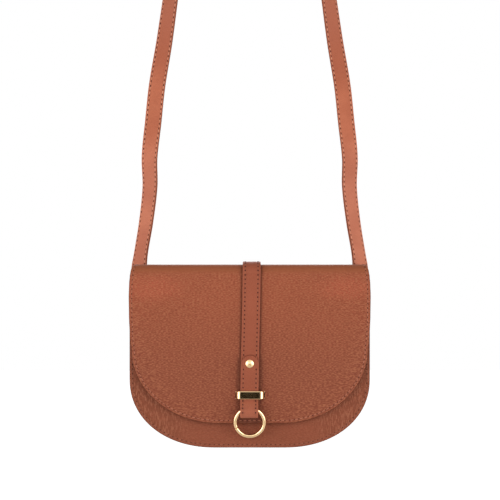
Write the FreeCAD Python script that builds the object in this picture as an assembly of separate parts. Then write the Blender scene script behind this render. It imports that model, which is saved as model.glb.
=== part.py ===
"""Saddle-shaped sling bag in leather, hanging by its shoulder strap.

Millimetres. +Z is up, +X is to the bag's left as its wearer faces it, and the front of the bag
faces -Y. While the pieces are made, z = 0 is the lowest point of the body and y = 0 is the
middle of its base. Each piece is then moved so that the origin is at the inside of the
shoulder strap's crown, where a hook or a shoulder carries the bag.
"""
import FreeCAD
import Part
import math
import os

V = FreeCAD.Vector
X_AXIS, Y_AXIS, Z_AXIS = V(1, 0, 0), V(0, 1, 0), V(0, 0, 1)

# Body
bag_width = 241.0        # over the panels' edges
mouth_height = 168.0     # top edge of the front panel and of the gusset
back_height = 173.0      # top edge of the back panel, along the panel
base_depth = 64.0        # outer face to outer face at the base
mouth_depth = 46.0       # the same at the mouth: the back panel leans in
corner_run = 85.5        # reach of a bottom corner's curve, in from the side
corner_rise = 67.5       # height of that curve

# Leather, board and cloth
panel_leather = 1.6
gusset_leather = 1.3
flange_width = 6.0       # gusset edge that is turned out and sewn to a panel
body_board = 0.8
lining_cloth = 0.5
facing_leather = 0.9
facing_height = 22.0
bond = 0.05              # room for the adhesive between two bonded layers
stand_off = 0.3          # room between pieces that move past each other

# Flap
flap_leather = 1.5
flap_board = 0.5
flap_lining_leather = 0.85
flap_gap = 3.0           # between the flap's lining and the front panel, filled by the snap
flap_bottom = 23.0       # height of the flap's lowest point
flap_top = 182.5         # height of the flap where it crosses the mouth
flap_waist_width = 237.0 # where the flap's sides meet its curved end
flap_brow_width = 242.0  # just under the front fold, where the flap is widest
flap_brow_drop = 16.0    # from the flap's top down to that line
flap_back_width = 238.0  # over the top and down the back
flap_end_run = 86.0      # reach of the curved end, in from the side
flap_end_rise = 74.0     # height of the curved end
flap_fold_radius = 10.0  # outside radius of the two folds
flap_tail_height = 140.0 # lower edge of the flap on the back panel, along the panel
flap_edge_inset = 1.5    # the board stops short of the painted edge

# Centre strap and closure
centre_width = 17.0
centre_leather = 2.15
centre_tail_height = 130.0  # rounded tail end on the back panel, along the panel
turn_up_height = 91.5       # rounded end of the turned-up strap
loop_bottom = 29.4          # lowest point of the loop that holds the ring
loop_radius = 3.8           # inside radius of that loop
ring_outer_radius = 16.45
ring_wire_radius = 1.9
ring_hang = 12.9            # from the swing axis down to the ring's centre
ring_lean_deg = 16.0        # the ring leans back on the flap's lower edge

# Keeper, a bridge over both layers of the centre strap
keeper_height = 8.0
keeper_mid_height = 52.0
keeper_face_width = 28.2
keeper_base_width = 32.0
keeper_metal = 1.3
keeper_bevel = 0.45
keeper_prong_width = 3.0
keeper_prong_metal = 0.9
keeper_plate_width = 30.5
keeper_plate_height = 6.0

# Rivets
rivet_height = 83.4         # on the closure
rivet_head_radius = 4.0
rivet_head_rise = 1.5
rivet_post_radius = 1.3
rivet_base_radius = 3.4
rivet_hole_play = 0.1

# Magnetic snap
snap_height = 70.0
snap_radius = 7.0
socket_thickness = 2.0
socket_recess_radius = 3.2
socket_recess_depth = 1.6
stud_thickness = 0.65
stud_nub_radius = 2.6
stud_nub_height = 1.3
snap_post_radius = 1.5
snap_washer_radius = 5.5
snap_washer_thickness = 0.45

# Shoulder strap, sewn to the back in two plies
strap_width = 17.0
strap_ply = 1.25
strap_end_x = 110.0         # middle of each sewn end
strap_end_bottom = 126.0    # rounded lower end, along the back panel
strap_end_top = 166.0       # where the strap leaves the back panel and bends
strap_rivet_height = 140.0
strap_loop_height = 557.145 # from there up to the inside of the crown
crown_radius = 48.0         # middle of the strap, over the hook or shoulder
crown_slope = 0.15          # sideways run of a leg for each unit of rise, below the crown

# Route of the right leg above the bag: height as a share of the loop's height, side, depth and
# turn about its own length. The other leg is its mirror image. The waves are the set of a strap
# that was stored folded.
leg_route = [
    (0.0144, 110.4, 19.6, 4.0),
    (0.0431, 112.4, 21.6, 20.0),
    (0.1077, 106.8, 22.0, 27.0),
    (0.1723, 102.8, 19.0, 24.0),
    (0.2262, 102.9, 20.5, 14.0),
    (0.2908, 99.4, 18.5, 0.0),
    (0.3590, 95.2, 20.0, -2.0),
    (0.4380, 88.3, 20.5, 12.0),
    (0.5187, 81.8, 20.0, 24.0),
    (0.6533, 70.5, 20.0, 46.0),
    (0.7969, 58.5, 20.0, 70.0),
]
crown_depth = 20.0          # depth at which the strap hangs from its crown

# Zip pocket in the back lining
zip_height = 118.0          # along the back panel
zip_length = 150.0
zip_window_height = 9.0
zip_tape_width = 11.0
zip_tape_cloth = 0.5
zip_tape_overrun = 12.0
zip_row_y = 26.6            # middle of the teeth, before the back leans in
tape_edge_rise = 1.6        # inner edge of a tape, from the zip's middle
tooth_pitch = 2.5
tooth_length = 2.4
tooth_width = 1.3
tooth_thickness = 1.8
tooth_row_gap = 1.2
stop_length = 2.4
slider_length = 9.0
slider_width = 7.6
slider_plate = 0.8
slider_play = 0.3
slider_wedge = 0.6
slider_bridge_width = 2.0
slider_bridge_length = 7.0
slider_bridge_bar = 1.0
slider_bridge_room = 2.0
pull_length = 22.0
pull_width = 5.0
pull_metal = 1.1
pull_bar = 1.2
pull_eye_height = 2.6
pocket_cloth = 0.6
pocket_width = 170.0
pocket_depth = 80.0

# Places that follow from the sizes
half_width = bag_width / 2
front_y = -base_depth / 2
back_y = base_depth / 2
back_lean = math.degrees(math.atan((base_depth - mouth_depth) / mouth_height))
flap_thickness = flap_leather + flap_board + flap_lining_leather + 2 * bond
flap_face_y = front_y - flap_gap - flap_thickness
web_inset = flange_width
board_inset = web_inset + gusset_leather + 2 * bond
lining_inset = web_inset + gusset_leather + bond
panel_lining_inset = lining_inset + lining_cloth + bond
front_lining_y = front_y + panel_leather + gusset_leather + 2 * bond
back_lining_y = zip_row_y - tooth_thickness / 2 + 2 * bond
ring_centre_radius = ring_outer_radius - ring_wire_radius
strap_thickness = 2 * strap_ply + bond
strap_seat_y = back_y + flap_thickness + stand_off


def placed_on_back(shape):
    """Lean a piece that was made on an upright back so that it lies on the real, leaning back."""
    shape.rotate(V(0, back_y, 0), X_AXIS, back_lean)
    return shape


def back_point(y, z):
    """Where a point of the upright back goes when the back leans in."""
    angle = math.radians(back_lean)
    dy = y - back_y
    return V(0, back_y + dy * math.cos(angle) - z * math.sin(angle),
             dy * math.sin(angle) + z * math.cos(angle))


# Outlines ------------------------------------------------------------------------------------

def quarter_ellipse(centre, run, rise, towards_bottom_from_left):
    """Quarter of an upright ellipse below its centre, to the left or to the right of it."""
    major, minor = (run, rise) if run > rise else (rise, run)
    side = -1 if towards_bottom_from_left else 1
    tip = centre + V(side * run, 0, 0)
    foot = centre - V(0, 0, rise)
    if run > rise:
        ellipse = Part.Ellipse(centre + V(major, 0, 0), centre + V(0, 0, minor), centre)
    else:
        ellipse = Part.Ellipse(centre + V(0, 0, major), centre + V(minor, 0, 0), centre)
    middle = centre + V(side * run, 0, -rise) * math.sqrt(0.5)
    ends = sorted(ellipse.parameter(p) for p in (tip, foot))
    if not ends[0] < ellipse.parameter(middle) < ends[1]:
        ends = [ends[1], ends[0] + 2 * math.pi]
    return Part.ArcOfEllipse(ellipse, ends[0], ends[1]).toShape()


def body_outline(inset, top, y):
    """D shape of the body at depth y: level base, curved corners, upright sides, level top."""
    side = half_width - inset
    run, rise = corner_run - inset, corner_rise - inset
    foot = side - run
    left, right = V(-foot, y, corner_rise), V(foot, y, corner_rise)
    edges = [
        Part.makeLine(V(-side, y, top), V(-side, y, corner_rise)),
        quarter_ellipse(left, run, rise, True),
        Part.makeLine(V(-foot, y, inset), V(foot, y, inset)),
        quarter_ellipse(right, run, rise, False),
        Part.makeLine(V(side, y, corner_rise), V(side, y, top)),
        Part.makeLine(V(side, y, top), V(-side, y, top)),
    ]
    return Part.Wire(Part.__sortEdges__(edges))


def body_plate(inset, top, y, thickness):
    """Flat piece of the body's outline, from y towards +Y."""
    return Part.Face(body_outline(inset, top, y)).extrude(V(0, thickness, 0))


def flap_outline(inset, top):
    """Outline of the flap seen from the front: curved end, flared sides, narrower over the top."""
    waist = flap_waist_width / 2 - inset
    brow = flap_brow_width / 2 - inset
    crest = flap_back_width / 2 - inset
    centre_z = flap_bottom + flap_end_rise
    brow_z = flap_top - flap_brow_drop
    run, rise = flap_end_run - inset, flap_end_rise - inset
    foot = waist - run
    y = flap_face_y - flap_gap
    edges = [
        Part.makeLine(V(-crest, y, top), V(-brow, y, brow_z)),
        Part.makeLine(V(-brow, y, brow_z), V(-waist, y, centre_z)),
        quarter_ellipse(V(-foot, y, centre_z), run, rise, True),
        Part.makeLine(V(-foot, y, flap_bottom + inset), V(foot, y, flap_bottom + inset)),
        quarter_ellipse(V(foot, y, centre_z), run, rise, False),
        Part.makeLine(V(waist, y, centre_z), V(brow, y, brow_z)),
        Part.makeLine(V(brow, y, brow_z), V(crest, y, top)),
        Part.makeLine(V(crest, y, top), V(-crest, y, top)),
    ]
    return Part.Face(Part.Wire(Part.__sortEdges__(edges)))


def rounded_tongue(width, bottom, top, y, thickness, round_top=False, round_bottom=False):
    """Upright strip with one or both ends rounded to half its width."""
    r = width / 2
    low = bottom + r if round_bottom else bottom
    high = top - r if round_top else top
    strip = Part.makeBox(width, thickness, high - low, V(-r, y, low))
    for wanted, z in ((round_top, high), (round_bottom, low)):
        if wanted:
            strip = strip.fuse(Part.makeCylinder(r, thickness, V(0, y, z), Y_AXIS))
    return strip.removeSplitter()


def pin(radius, length, start, direction=Y_AXIS):
    return Part.makeCylinder(radius, length, start, direction)


# Layers that run over the top of the bag ---------------------------------------------------------

fold_centre_front = V(0, flap_face_y + flap_fold_radius, flap_top - flap_fold_radius)
back_normal = V(0, math.cos(math.radians(back_lean)), math.sin(math.radians(back_lean)))
tail_face_point = back_point(back_y + flap_thickness, 0)
fold_centre_back_y = tail_face_point.y - (
    flap_fold_radius + (flap_top - flap_fold_radius - tail_face_point.z) * back_normal.z
) / back_normal.y
fold_centre_back = V(0, fold_centre_back_y, flap_top - flap_fold_radius)
front_split_deg = 135.0
back_split_deg = (90.0 + back_lean) / 2
pivot_radius = flap_fold_radius + centre_leather + bond + stand_off / 2
split_play_deg = math.degrees(stand_off / 2 / flap_fold_radius)


def ray(centre, angle_deg, radius):
    angle = math.radians(angle_deg)
    return centre + V(0, math.cos(angle), math.sin(angle)) * radius


flap_hinge_point = ray(fold_centre_back, back_split_deg, pivot_radius)
flap_fold_point = ray(fold_centre_front, front_split_deg, pivot_radius)


def across(face, width):
    """Give a side profile its width, centred on the bag."""
    face.translate(V(-width / 2, 0, 0))
    return face.extrude(V(width, 0, 0))


def polygon_face(points):
    return Part.Face(Part.makePolygon(points + points[:1]))


def fold(centre, start_deg, end_deg, inner, outer, width):
    """Part of a fold, between two distances from the flap's outer face, outwards positive."""
    middle = (start_deg + end_deg) / 2
    low, high = flap_fold_radius + inner, flap_fold_radius + outer
    edges = [
        Part.Arc(ray(centre, start_deg, high), ray(centre, middle, high),
                 ray(centre, end_deg, high)).toShape(),
        Part.makeLine(ray(centre, end_deg, high), ray(centre, end_deg, low)),
        Part.Arc(ray(centre, end_deg, low), ray(centre, middle, low),
                 ray(centre, start_deg, low)).toShape(),
        Part.makeLine(ray(centre, start_deg, low), ray(centre, start_deg, high)),
    ]
    return across(Part.Face(Part.Wire(edges)), width)


def front_fold_lower(inner, outer, width):
    return fold(fold_centre_front, front_split_deg + split_play_deg, 180.0, inner, outer, width)


def bridge_layer(inner, outer, width):
    """Layer of the middle stretch: upper half of each fold and the level part between them."""
    level = polygon_face([
        ray(fold_centre_front, 90.0, flap_fold_radius + inner),
        ray(fold_centre_front, 90.0, flap_fold_radius + outer),
        ray(fold_centre_back, 90.0, flap_fold_radius + outer),
        ray(fold_centre_back, 90.0, flap_fold_radius + inner),
    ])
    halves = [
        fold(fold_centre_front, 90.0, front_split_deg - split_play_deg, inner, outer, width),
        fold(fold_centre_back, back_split_deg + split_play_deg, 90.0, inner, outer, width),
    ]
    return across(level, width).multiFuse(halves).removeSplitter()


def tail_layer(inner, outer, width, bottom, round_end=False):
    """Layer on the back panel, with the lower half of the back fold."""
    start = back_y + flap_thickness + inner
    top = math.hypot(fold_centre_back.y - tail_face_point.y,
                     fold_centre_back.z - tail_face_point.z)
    top = math.sqrt(top ** 2 - flap_fold_radius ** 2)
    sheet = rounded_tongue(width, bottom, top, start, outer - inner, round_bottom=round_end)
    lower = fold(fold_centre_back, back_lean, back_split_deg - split_play_deg, inner, outer, width)
    return placed_on_back(sheet).fuse(lower).removeSplitter()


# Body ----------------------------------------------------------------------------------------

def make_front_panel():
    panel = body_plate(0, mouth_height, front_y, panel_leather)
    return panel.cut(pin(snap_post_radius + rivet_hole_play, 3 * panel_leather,
                         V(0, front_y - panel_leather, snap_height)))


def make_back_panel():
    return placed_on_back(body_plate(0, back_height, back_y - panel_leather, panel_leather))


def gusset_shell(inset, thickness, front, back, top):
    """Wall that follows the body's outline from the front to the leaning back, open at the top."""
    solids = []
    for grow, height in ((0, top), (thickness, top + back_height)):
        near = body_outline(inset + grow, height, front)
        far = placed_on_back(body_outline(inset + grow, height, back))
        solids.append(Part.makeLoft([near, far], True, True))
    return solids[0].cut(solids[1])


def flange(y):
    """Turned-out edge of the gusset, lying against a panel."""
    rim = body_plate(0, mouth_height, y, gusset_leather)
    window = body_plate(web_inset + gusset_leather / 2, mouth_height + back_height,
                        y - gusset_leather, 3 * gusset_leather)
    return rim.cut(window)


def make_gusset():
    front = front_y + panel_leather
    back = back_y - panel_leather
    web = gusset_shell(web_inset, gusset_leather, front, back, mouth_height)
    rims = [flange(front), placed_on_back(flange(back - gusset_leather))]
    return web.multiFuse(rims).removeSplitter()


def make_gusset_lining():
    """Lining of the gusset, between the front lining and the back lining."""
    wall = gusset_shell(lining_inset, lining_cloth, front_y + panel_leather,
                        back_y - panel_leather, mouth_height)
    reach = bond + lining_cloth
    front_end = Part.makeBox(bag_width, base_depth, 2 * back_height,
                             V(-half_width, front_lining_y + reach - base_depth, -corner_rise))
    back_end = Part.makeBox(bag_width, base_depth, 2 * back_height,
                            V(-half_width, back_lining_y - reach, -corner_rise))
    return wall.cut([front_end, placed_on_back(back_end)])


def make_front_board():
    board = body_plate(board_inset, mouth_height - facing_height / 2,
                       front_y + panel_leather + bond, body_board)
    room = pin(snap_washer_radius + rivet_hole_play, base_depth, V(0, front_y, snap_height))
    return board.cut(room)


def make_back_board():
    y = back_y - panel_leather - bond - body_board
    return placed_on_back(body_plate(board_inset, mouth_height, y, body_board))


def make_front_lining():
    return body_plate(panel_lining_inset, mouth_height, front_lining_y, lining_cloth)


def make_back_lining():
    sheet = body_plate(panel_lining_inset, mouth_height, back_lining_y - lining_cloth,
                       lining_cloth)
    window = Part.makeBox(zip_length, 3 * lining_cloth, zip_window_height,
                          V(-zip_length / 2, back_lining_y - 2 * lining_cloth,
                            zip_height - zip_window_height / 2))
    return placed_on_back(sheet.cut(window))


def make_facing(y):
    width = 2 * (half_width - panel_lining_inset - lining_cloth)
    return Part.makeBox(width, facing_leather, facing_height,
                        V(-width / 2, y, mouth_height - facing_height))


def make_front_facing():
    return make_facing(front_lining_y + lining_cloth + bond)


def make_back_facing():
    return placed_on_back(make_facing(back_lining_y - lining_cloth - bond - facing_leather))


# Zip pocket ----------------------------------------------------------------------------------

def make_zip_tapes():
    length = zip_length + 2 * zip_tape_overrun
    y = back_lining_y + bond
    tapes = []
    for low in (zip_height + tape_edge_rise, zip_height - tape_edge_rise - zip_tape_width):
        tapes.append(Part.makeBox(length, zip_tape_cloth, zip_tape_width,
                                  V(-length / 2, y, low)))
    return placed_on_back(Part.makeCompound(tapes))


def make_zip_teeth():
    """Two rows of teeth, half a pitch apart, with room for the slider's wedge between them."""
    teeth = []
    for side, shift in ((1, 0.0), (-1, tooth_pitch / 2)):
        count = int((zip_length - 2 * stop_length - tooth_pitch) / tooth_pitch)
        for i in range(count):
            middle = (i - (count - 1) / 2) * tooth_pitch + shift
            tooth = tape_clip(middle - tooth_width / 2, tooth_width, tooth_row_gap / 2)
            teeth.append(tooth if side > 0 else tooth.mirror(V(0, 0, zip_height), Z_AXIS))
    return placed_on_back(Part.makeCompound(teeth))


def tape_clip(start, length, rise):
    """Metal clip on the edge of the upper tape: a block from the given rise, slotted for it."""
    block = Part.makeBox(length, tooth_thickness, tooth_length,
                         V(start, zip_row_y - tooth_thickness / 2, zip_height + rise))
    slot = Part.makeBox(length, zip_tape_cloth + 2 * bond, tooth_length,
                        V(start, back_lining_y, zip_height + tape_edge_rise - bond))
    return block.cut(slot)


def make_zip_stops():
    stops = []
    for start in (-zip_length / 2, zip_length / 2 - stop_length):
        upper = tape_clip(start, stop_length, 0.0)
        stops.append(upper.fuse(upper.mirror(V(0, 0, zip_height), Z_AXIS)).removeSplitter())
    return placed_on_back(Part.makeCompound(stops))


def make_pocket_bag():
    y = back_y - panel_leather - body_board - 2 * bond - pocket_cloth
    return placed_on_back(Part.makeBox(pocket_width, pocket_cloth, pocket_depth,
                                       V(-pocket_width / 2, y,
                                         zip_height + zip_tape_width - pocket_depth)))


slider_x = zip_length / 2 - stop_length - slider_length / 2 - stand_off
slider_gap = tooth_thickness / 2 + slider_play
slider_front_y = zip_row_y - slider_gap - slider_plate
slider_travel = 2 * slider_x
pull_pivot_y = slider_front_y - slider_bridge_room / 2
pull_pivot_z = zip_height - slider_bridge_length / 2 + slider_bridge_bar + pull_bar


def slider_block(length, depth, height, y, z=None):
    """Box centred on the slider along the zip, and on the zip's height unless z is given."""
    low = zip_height - height / 2 if z is None else z
    return Part.makeBox(length, depth, height, V(slider_x - length / 2, y, low))


def make_slider():
    """Front and back plates joined by a wedge between the tapes, with a bridge for the pull."""
    front = slider_block(slider_length, slider_plate, slider_width, slider_front_y)
    back = slider_block(slider_length, slider_plate, slider_width, zip_row_y + slider_gap)
    wedge = slider_block(slider_length / 2, 2 * slider_gap, slider_wedge, zip_row_y - slider_gap)
    rise = slider_bridge_room + slider_bridge_bar
    staple = slider_block(slider_bridge_width, rise, slider_bridge_length, slider_front_y - rise)
    eye = slider_block(slider_bridge_width, slider_bridge_room,
                       slider_bridge_length - 2 * slider_bridge_bar,
                       slider_front_y - slider_bridge_room)
    return placed_on_back(front.multiFuse([back, wedge, staple.cut(eye)]).removeSplitter())


def make_pull():
    """Flat metal pull. The bridge passes through its eye, and its top bar hangs in the bridge."""
    top = pull_pivot_z + pull_bar / 2
    y = pull_pivot_y - pull_metal / 2
    tab = rounded_tongue(pull_width, top - pull_length, top, y, pull_metal, round_bottom=True)
    eye_top = pull_pivot_z - pull_bar / 2
    eye_width = slider_bridge_width + 2 * stand_off
    eye = Part.makeBox(eye_width, 3 * pull_metal, pull_eye_height,
                       V(-eye_width / 2, y - pull_metal, eye_top - pull_eye_height))
    tab = tab.cut(eye)
    tab.translate(V(slider_x, 0, 0))
    return placed_on_back(tab)


# Flap ----------------------------------------------------------------------------------------

def flap_layer(inner, outer, inset=0.0, with_fold=True):
    """Layer of the flap's front: the flat part, and the lower half of the front fold."""
    outline = flap_outline(inset, fold_centre_front.z)
    sheet = outline.extrude(V(0, outer - inner, 0))
    sheet.translate(V(0, flap_face_y - outer - sheet.BoundBox.YMin, 0))
    if not with_fold:
        return sheet
    tall = flap_outline(inset, flap_top + flap_gap)
    sides = tall.extrude(V(0, base_depth, 0))
    lower = front_fold_lower(inner, outer, flap_brow_width).common(sides)
    return sheet.fuse(lower).removeSplitter()


leather_layer = (-flap_leather, 0.0)
board_layer = (-flap_leather - bond - flap_board, -flap_leather - bond)
lining_layer = (-flap_thickness, -flap_thickness + flap_lining_leather)
strap_layer = (bond, bond + centre_leather)
turn_up_layer = (2 * bond + centre_leather, 2 * bond + 2 * centre_leather)


def post_hole(radius, height):
    return pin(radius + rivet_hole_play, 2 * base_depth, V(0, front_y - base_depth, height))


def make_flap_leather():
    holes = [post_hole(rivet_post_radius, rivet_height), *keeper_slits()]
    return flap_layer(*leather_layer).cut(holes)


def make_flap_lining():
    return flap_layer(*lining_layer).cut(post_hole(snap_post_radius, snap_height))


def make_flap_board():
    """Board between leather and lining, with rooms for the metal that is clinched there."""
    board = flap_layer(*board_layer, inset=flap_edge_inset, with_fold=False)
    play = 2 * rivet_hole_play
    room = Part.makeBox(keeper_plate_width + play, base_depth, keeper_plate_height + play,
                        V(-(keeper_plate_width + play) / 2, flap_face_y - base_depth / 2,
                          keeper_mid_height - (keeper_plate_height + play) / 2))
    rooms = [post_hole(rivet_base_radius, rivet_height),
             post_hole(snap_washer_radius, snap_height), room]
    return board.cut(rooms)


def make_bridge_leather():
    return bridge_layer(*leather_layer, flap_back_width)


def make_bridge_lining():
    return bridge_layer(*lining_layer, flap_back_width)


def make_flap_tail():
    """The flap's leather and lining, pressed together and sewn to the back panel."""
    return tail_layer(bond - flap_thickness, 0.0, flap_back_width, flap_tail_height)


# Centre strap and closure --------------------------------------------------------------------

def make_strap_bridge():
    return bridge_layer(*strap_layer, centre_width)


def make_strap_tail():
    return tail_layer(*strap_layer, centre_width, centre_tail_height, round_end=True)


loop_outer_radius = loop_radius + centre_leather
loop_centre = V(0, flap_face_y - strap_layer[1] - loop_radius, loop_bottom + loop_outer_radius)
keeper_bottom = keeper_mid_height - keeper_height / 2
pinch_height = keeper_bottom - centre_leather


def make_centre_strap():
    """The strap runs down the flap, turns up round the ring's loop and rises again to the rivet."""
    y_back_in, y_back_out = flap_face_y - strap_layer[0], flap_face_y - strap_layer[1]
    y_front_in, y_front_out = flap_face_y - turn_up_layer[0], flap_face_y - turn_up_layer[1]
    half = V(-centre_width / 2, 0, 0)
    down = Part.makeBox(centre_width, centre_leather, fold_centre_front.z - loop_centre.z,
                        half + V(0, y_back_out, loop_centre.z))
    # The slanting stretch leaves the loop's circle at a tangent and meets the turned-up strap
    # just under the keeper.
    to_pinch = V(0, y_front_in - loop_centre.y, pinch_height - loop_centre.z)
    slant = math.atan2(to_pinch.y, to_pinch.z) + math.asin(loop_radius / to_pinch.Length)
    normal = V(0, -math.cos(slant), math.sin(slant))
    along = V(0, math.sin(slant), math.cos(slant))
    inside, outside = loop_centre + normal * loop_radius, loop_centre + normal * loop_outer_radius
    meet = outside + along * ((y_front_out - outside.y) / along.y)
    bottom, bottom_out = (loop_centre - V(0, 0, r) for r in (loop_radius, loop_outer_radius))
    half_turn = (3 * math.pi - slant) / 2
    middle = V(0, math.cos(half_turn), math.sin(half_turn))
    edges = [
        Part.Arc(loop_centre + V(0, loop_radius, 0), loop_centre + middle * loop_radius,
                 inside).toShape(),
        Part.makeLine(inside, V(0, y_front_in, pinch_height)),
        Part.makeLine(V(0, y_front_in, pinch_height), V(0, y_front_in, keeper_mid_height)),
        Part.makeLine(V(0, y_front_in, keeper_mid_height), V(0, y_front_out, keeper_mid_height)),
        Part.makeLine(V(0, y_front_out, keeper_mid_height), meet),
        Part.makeLine(meet, outside),
        Part.Arc(outside, loop_centre + middle * loop_outer_radius,
                 loop_centre + V(0, loop_outer_radius, 0)).toShape(),
        Part.makeLine(loop_centre + V(0, loop_outer_radius, 0),
                      loop_centre + V(0, loop_radius, 0)),
    ]
    loop = across(Part.Face(Part.Wire(edges)), centre_width)
    up = rounded_tongue(centre_width, keeper_mid_height, turn_up_height, y_front_out,
                        centre_leather, round_top=True)
    strap = down.multiFuse([loop, up, front_fold_lower(*strap_layer, centre_width)])
    return strap.removeSplitter().cut(post_hole(rivet_post_radius, rivet_height))


def make_ring():
    ring = Part.makeTorus(ring_centre_radius, ring_wire_radius,
                          loop_centre - V(0, 0, ring_hang), Y_AXIS)
    ring.rotate(loop_centre, X_AXIS, ring_lean_deg)
    return ring


def dome(radius, rise, y, z):
    """Spherical cap that rises from the plane at y towards -Y."""
    ball = (radius ** 2 + rise ** 2) / (2 * rise)
    sphere = Part.makeSphere(ball, V(0, y + ball - rise, z))
    block = Part.makeBox(2 * ball, rise, 2 * ball, V(-ball, y - rise, z - ball))
    return sphere.common(block)


def make_rivet():
    """Domed head on the turned-up strap, with a post down to the base inside the flap."""
    seat = flap_face_y - turn_up_layer[1]
    foot = flap_face_y - board_layer[1] + bond
    post = pin(rivet_post_radius, foot - seat, V(0, seat, rivet_height))
    return dome(rivet_head_radius, rivet_head_rise, seat, rivet_height).fuse(post)


def make_rivet_base():
    y = flap_face_y - board_layer[1] + bond
    return pin(rivet_base_radius, flap_board - bond, V(0, y, rivet_height))


keeper_reach = turn_up_layer[1] + stand_off + keeper_metal


def keeper_slits():
    """Slits in the flap's leather for the keeper's two prongs."""
    slits = []
    for side in (-1, 1):
        middle = side * (keeper_base_width / 2 - keeper_metal)
        slits.append(Part.makeBox(keeper_prong_metal + 2 * rivet_hole_play, base_depth,
                                  keeper_prong_width + 2 * rivet_hole_play,
                                  V(middle - keeper_prong_metal / 2 - rivet_hole_play,
                                    flap_face_y - base_depth / 2,
                                    keeper_mid_height - keeper_prong_width / 2
                                    - rivet_hole_play)))
    return slits


def make_keeper():
    """Bridge with splayed legs, a bevelled face and a prong under each leg."""
    def side_points(grow, reach):
        face = keeper_face_width / 2 - grow
        base = keeper_base_width / 2 - grow
        return [V(-base, flap_face_y, 0), V(-face, flap_face_y - reach, 0),
                V(face, flap_face_y - reach, 0), V(base, flap_face_y, 0)]

    outer = side_points(0, keeper_reach)
    inner = side_points(keeper_metal, keeper_reach - keeper_metal)
    arch = polygon_face(outer + inner[::-1]).extrude(V(0, 0, keeper_height))
    arch.translate(V(0, 0, keeper_bottom))
    face_y = flap_face_y - keeper_reach
    bends = [e for e in arch.Edges
             if abs(e.CenterOfMass.y - face_y) < bond
             and e.BoundBox.ZLength > keeper_height / 2 > e.BoundBox.XLength]
    arch = arch.makeFillet(keeper_metal, bends)
    rims = [e for e in arch.Edges
            if abs(e.CenterOfMass.y - face_y) < bond and abs(e.CenterOfMass.x) < bond]
    arch = arch.makeChamfer(keeper_bevel, rims)
    depth = -board_layer[1] + flap_board - bond
    prongs = []
    for side in (-1, 1):
        middle = side * (keeper_base_width / 2 - keeper_metal)
        prongs.append(Part.makeBox(keeper_prong_metal, depth, keeper_prong_width,
                                   V(middle - keeper_prong_metal / 2, flap_face_y,
                                     keeper_mid_height - keeper_prong_width / 2)))
    return arch.multiFuse(prongs).removeSplitter()


def make_keeper_plate():
    """Plate inside the flap on which the keeper's prongs are clinched."""
    y = flap_face_y - board_layer[1] + bond
    plate = Part.makeBox(keeper_plate_width, flap_board - bond, keeper_plate_height,
                         V(-keeper_plate_width / 2, y, keeper_mid_height - keeper_plate_height / 2))
    return plate.cut(keeper_slits())


# Magnetic snap -------------------------------------------------------------------------------

def make_snap_socket():
    case = pin(snap_radius, socket_thickness, V(0, front_y - socket_thickness, snap_height))
    rim = [e for e in case.Edges if abs(e.BoundBox.YMax - front_y + socket_thickness) < bond]
    case = case.makeFillet(stand_off, rim)
    recess = pin(socket_recess_radius, socket_recess_depth,
                 V(0, front_y - socket_thickness, snap_height))
    post = pin(snap_post_radius, panel_leather + bond, V(0, front_y, snap_height))
    return case.cut(recess).fuse(post)


def make_snap_socket_washer():
    y = front_y + panel_leather + bond
    return pin(snap_washer_radius, body_board - bond, V(0, y, snap_height))


def make_snap_stud():
    """Disc on the flap's lining, with a nub that enters the socket."""
    lining_y = flap_face_y + flap_thickness
    disc = pin(snap_radius, stud_thickness, V(0, lining_y, snap_height))
    nub = pin(stud_nub_radius, stud_nub_height, V(0, lining_y + stud_thickness, snap_height))
    post = pin(snap_post_radius, flap_lining_leather + bond,
               V(0, lining_y - flap_lining_leather - bond, snap_height))
    return disc.multiFuse([nub, post]).removeSplitter()


def make_snap_stud_washer():
    y = flap_face_y - board_layer[1] + bond
    return pin(snap_washer_radius, snap_washer_thickness, V(0, y, snap_height))


# Shoulder strap ------------------------------------------------------------------------------

leg_foot = back_point(strap_seat_y + strap_thickness + stand_off / 2, strap_end_top)


def make_strap_end(side):
    """End of the strap, sewn flat on the flap's tail and riveted."""
    end = rounded_tongue(strap_width, strap_end_bottom, strap_end_top, strap_seat_y,
                         strap_thickness, round_bottom=True)
    hole = pin(rivet_post_radius + rivet_hole_play, base_depth,
               V(0, back_y, strap_rivet_height))
    end = end.cut(hole)
    end.translate(V(side * strap_end_x, 0, 0))
    return placed_on_back(end)


def make_strap_rivets():
    """Rivets of both strap ends: a domed head outside and a post into the flap's tail."""
    rivets = []
    for side in (-1, 1):
        head = dome(rivet_head_radius, rivet_head_rise, 0, strap_rivet_height)
        head.rotate(V(0, 0, strap_rivet_height), Z_AXIS, 180)
        head.translate(V(0, strap_seat_y + strap_thickness, 0))
        post = pin(rivet_post_radius, strap_thickness,
                   V(0, strap_seat_y, strap_rivet_height))
        rivet = head.fuse(post)
        rivet.translate(V(side * strap_end_x, 0, 0))
        rivets.append(rivet)
    return placed_on_back(Part.makeCompound(rivets))


def leg_section(place, side_way, face_way, inner, outer):
    """Cross-section of one ply: side_way runs across the strap, face_way out of its face."""
    half = side_way * (strap_width / 2)
    corners = [place - half + face_way * inner, place + half + face_way * inner,
               place + half + face_way * outer, place - half + face_way * outer]
    return Part.makePolygon(corners + corners[:1])


slope_angle = math.atan(crown_slope)
crown_inside = crown_radius - strap_thickness / 2
hang_point = V(0, crown_depth, strap_end_top + strap_loop_height)
crown_centre = hang_point - V(0, 0, crown_inside)
crown_tangent = crown_centre + V(math.cos(slope_angle), 0, math.sin(slope_angle)) * crown_radius


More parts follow.
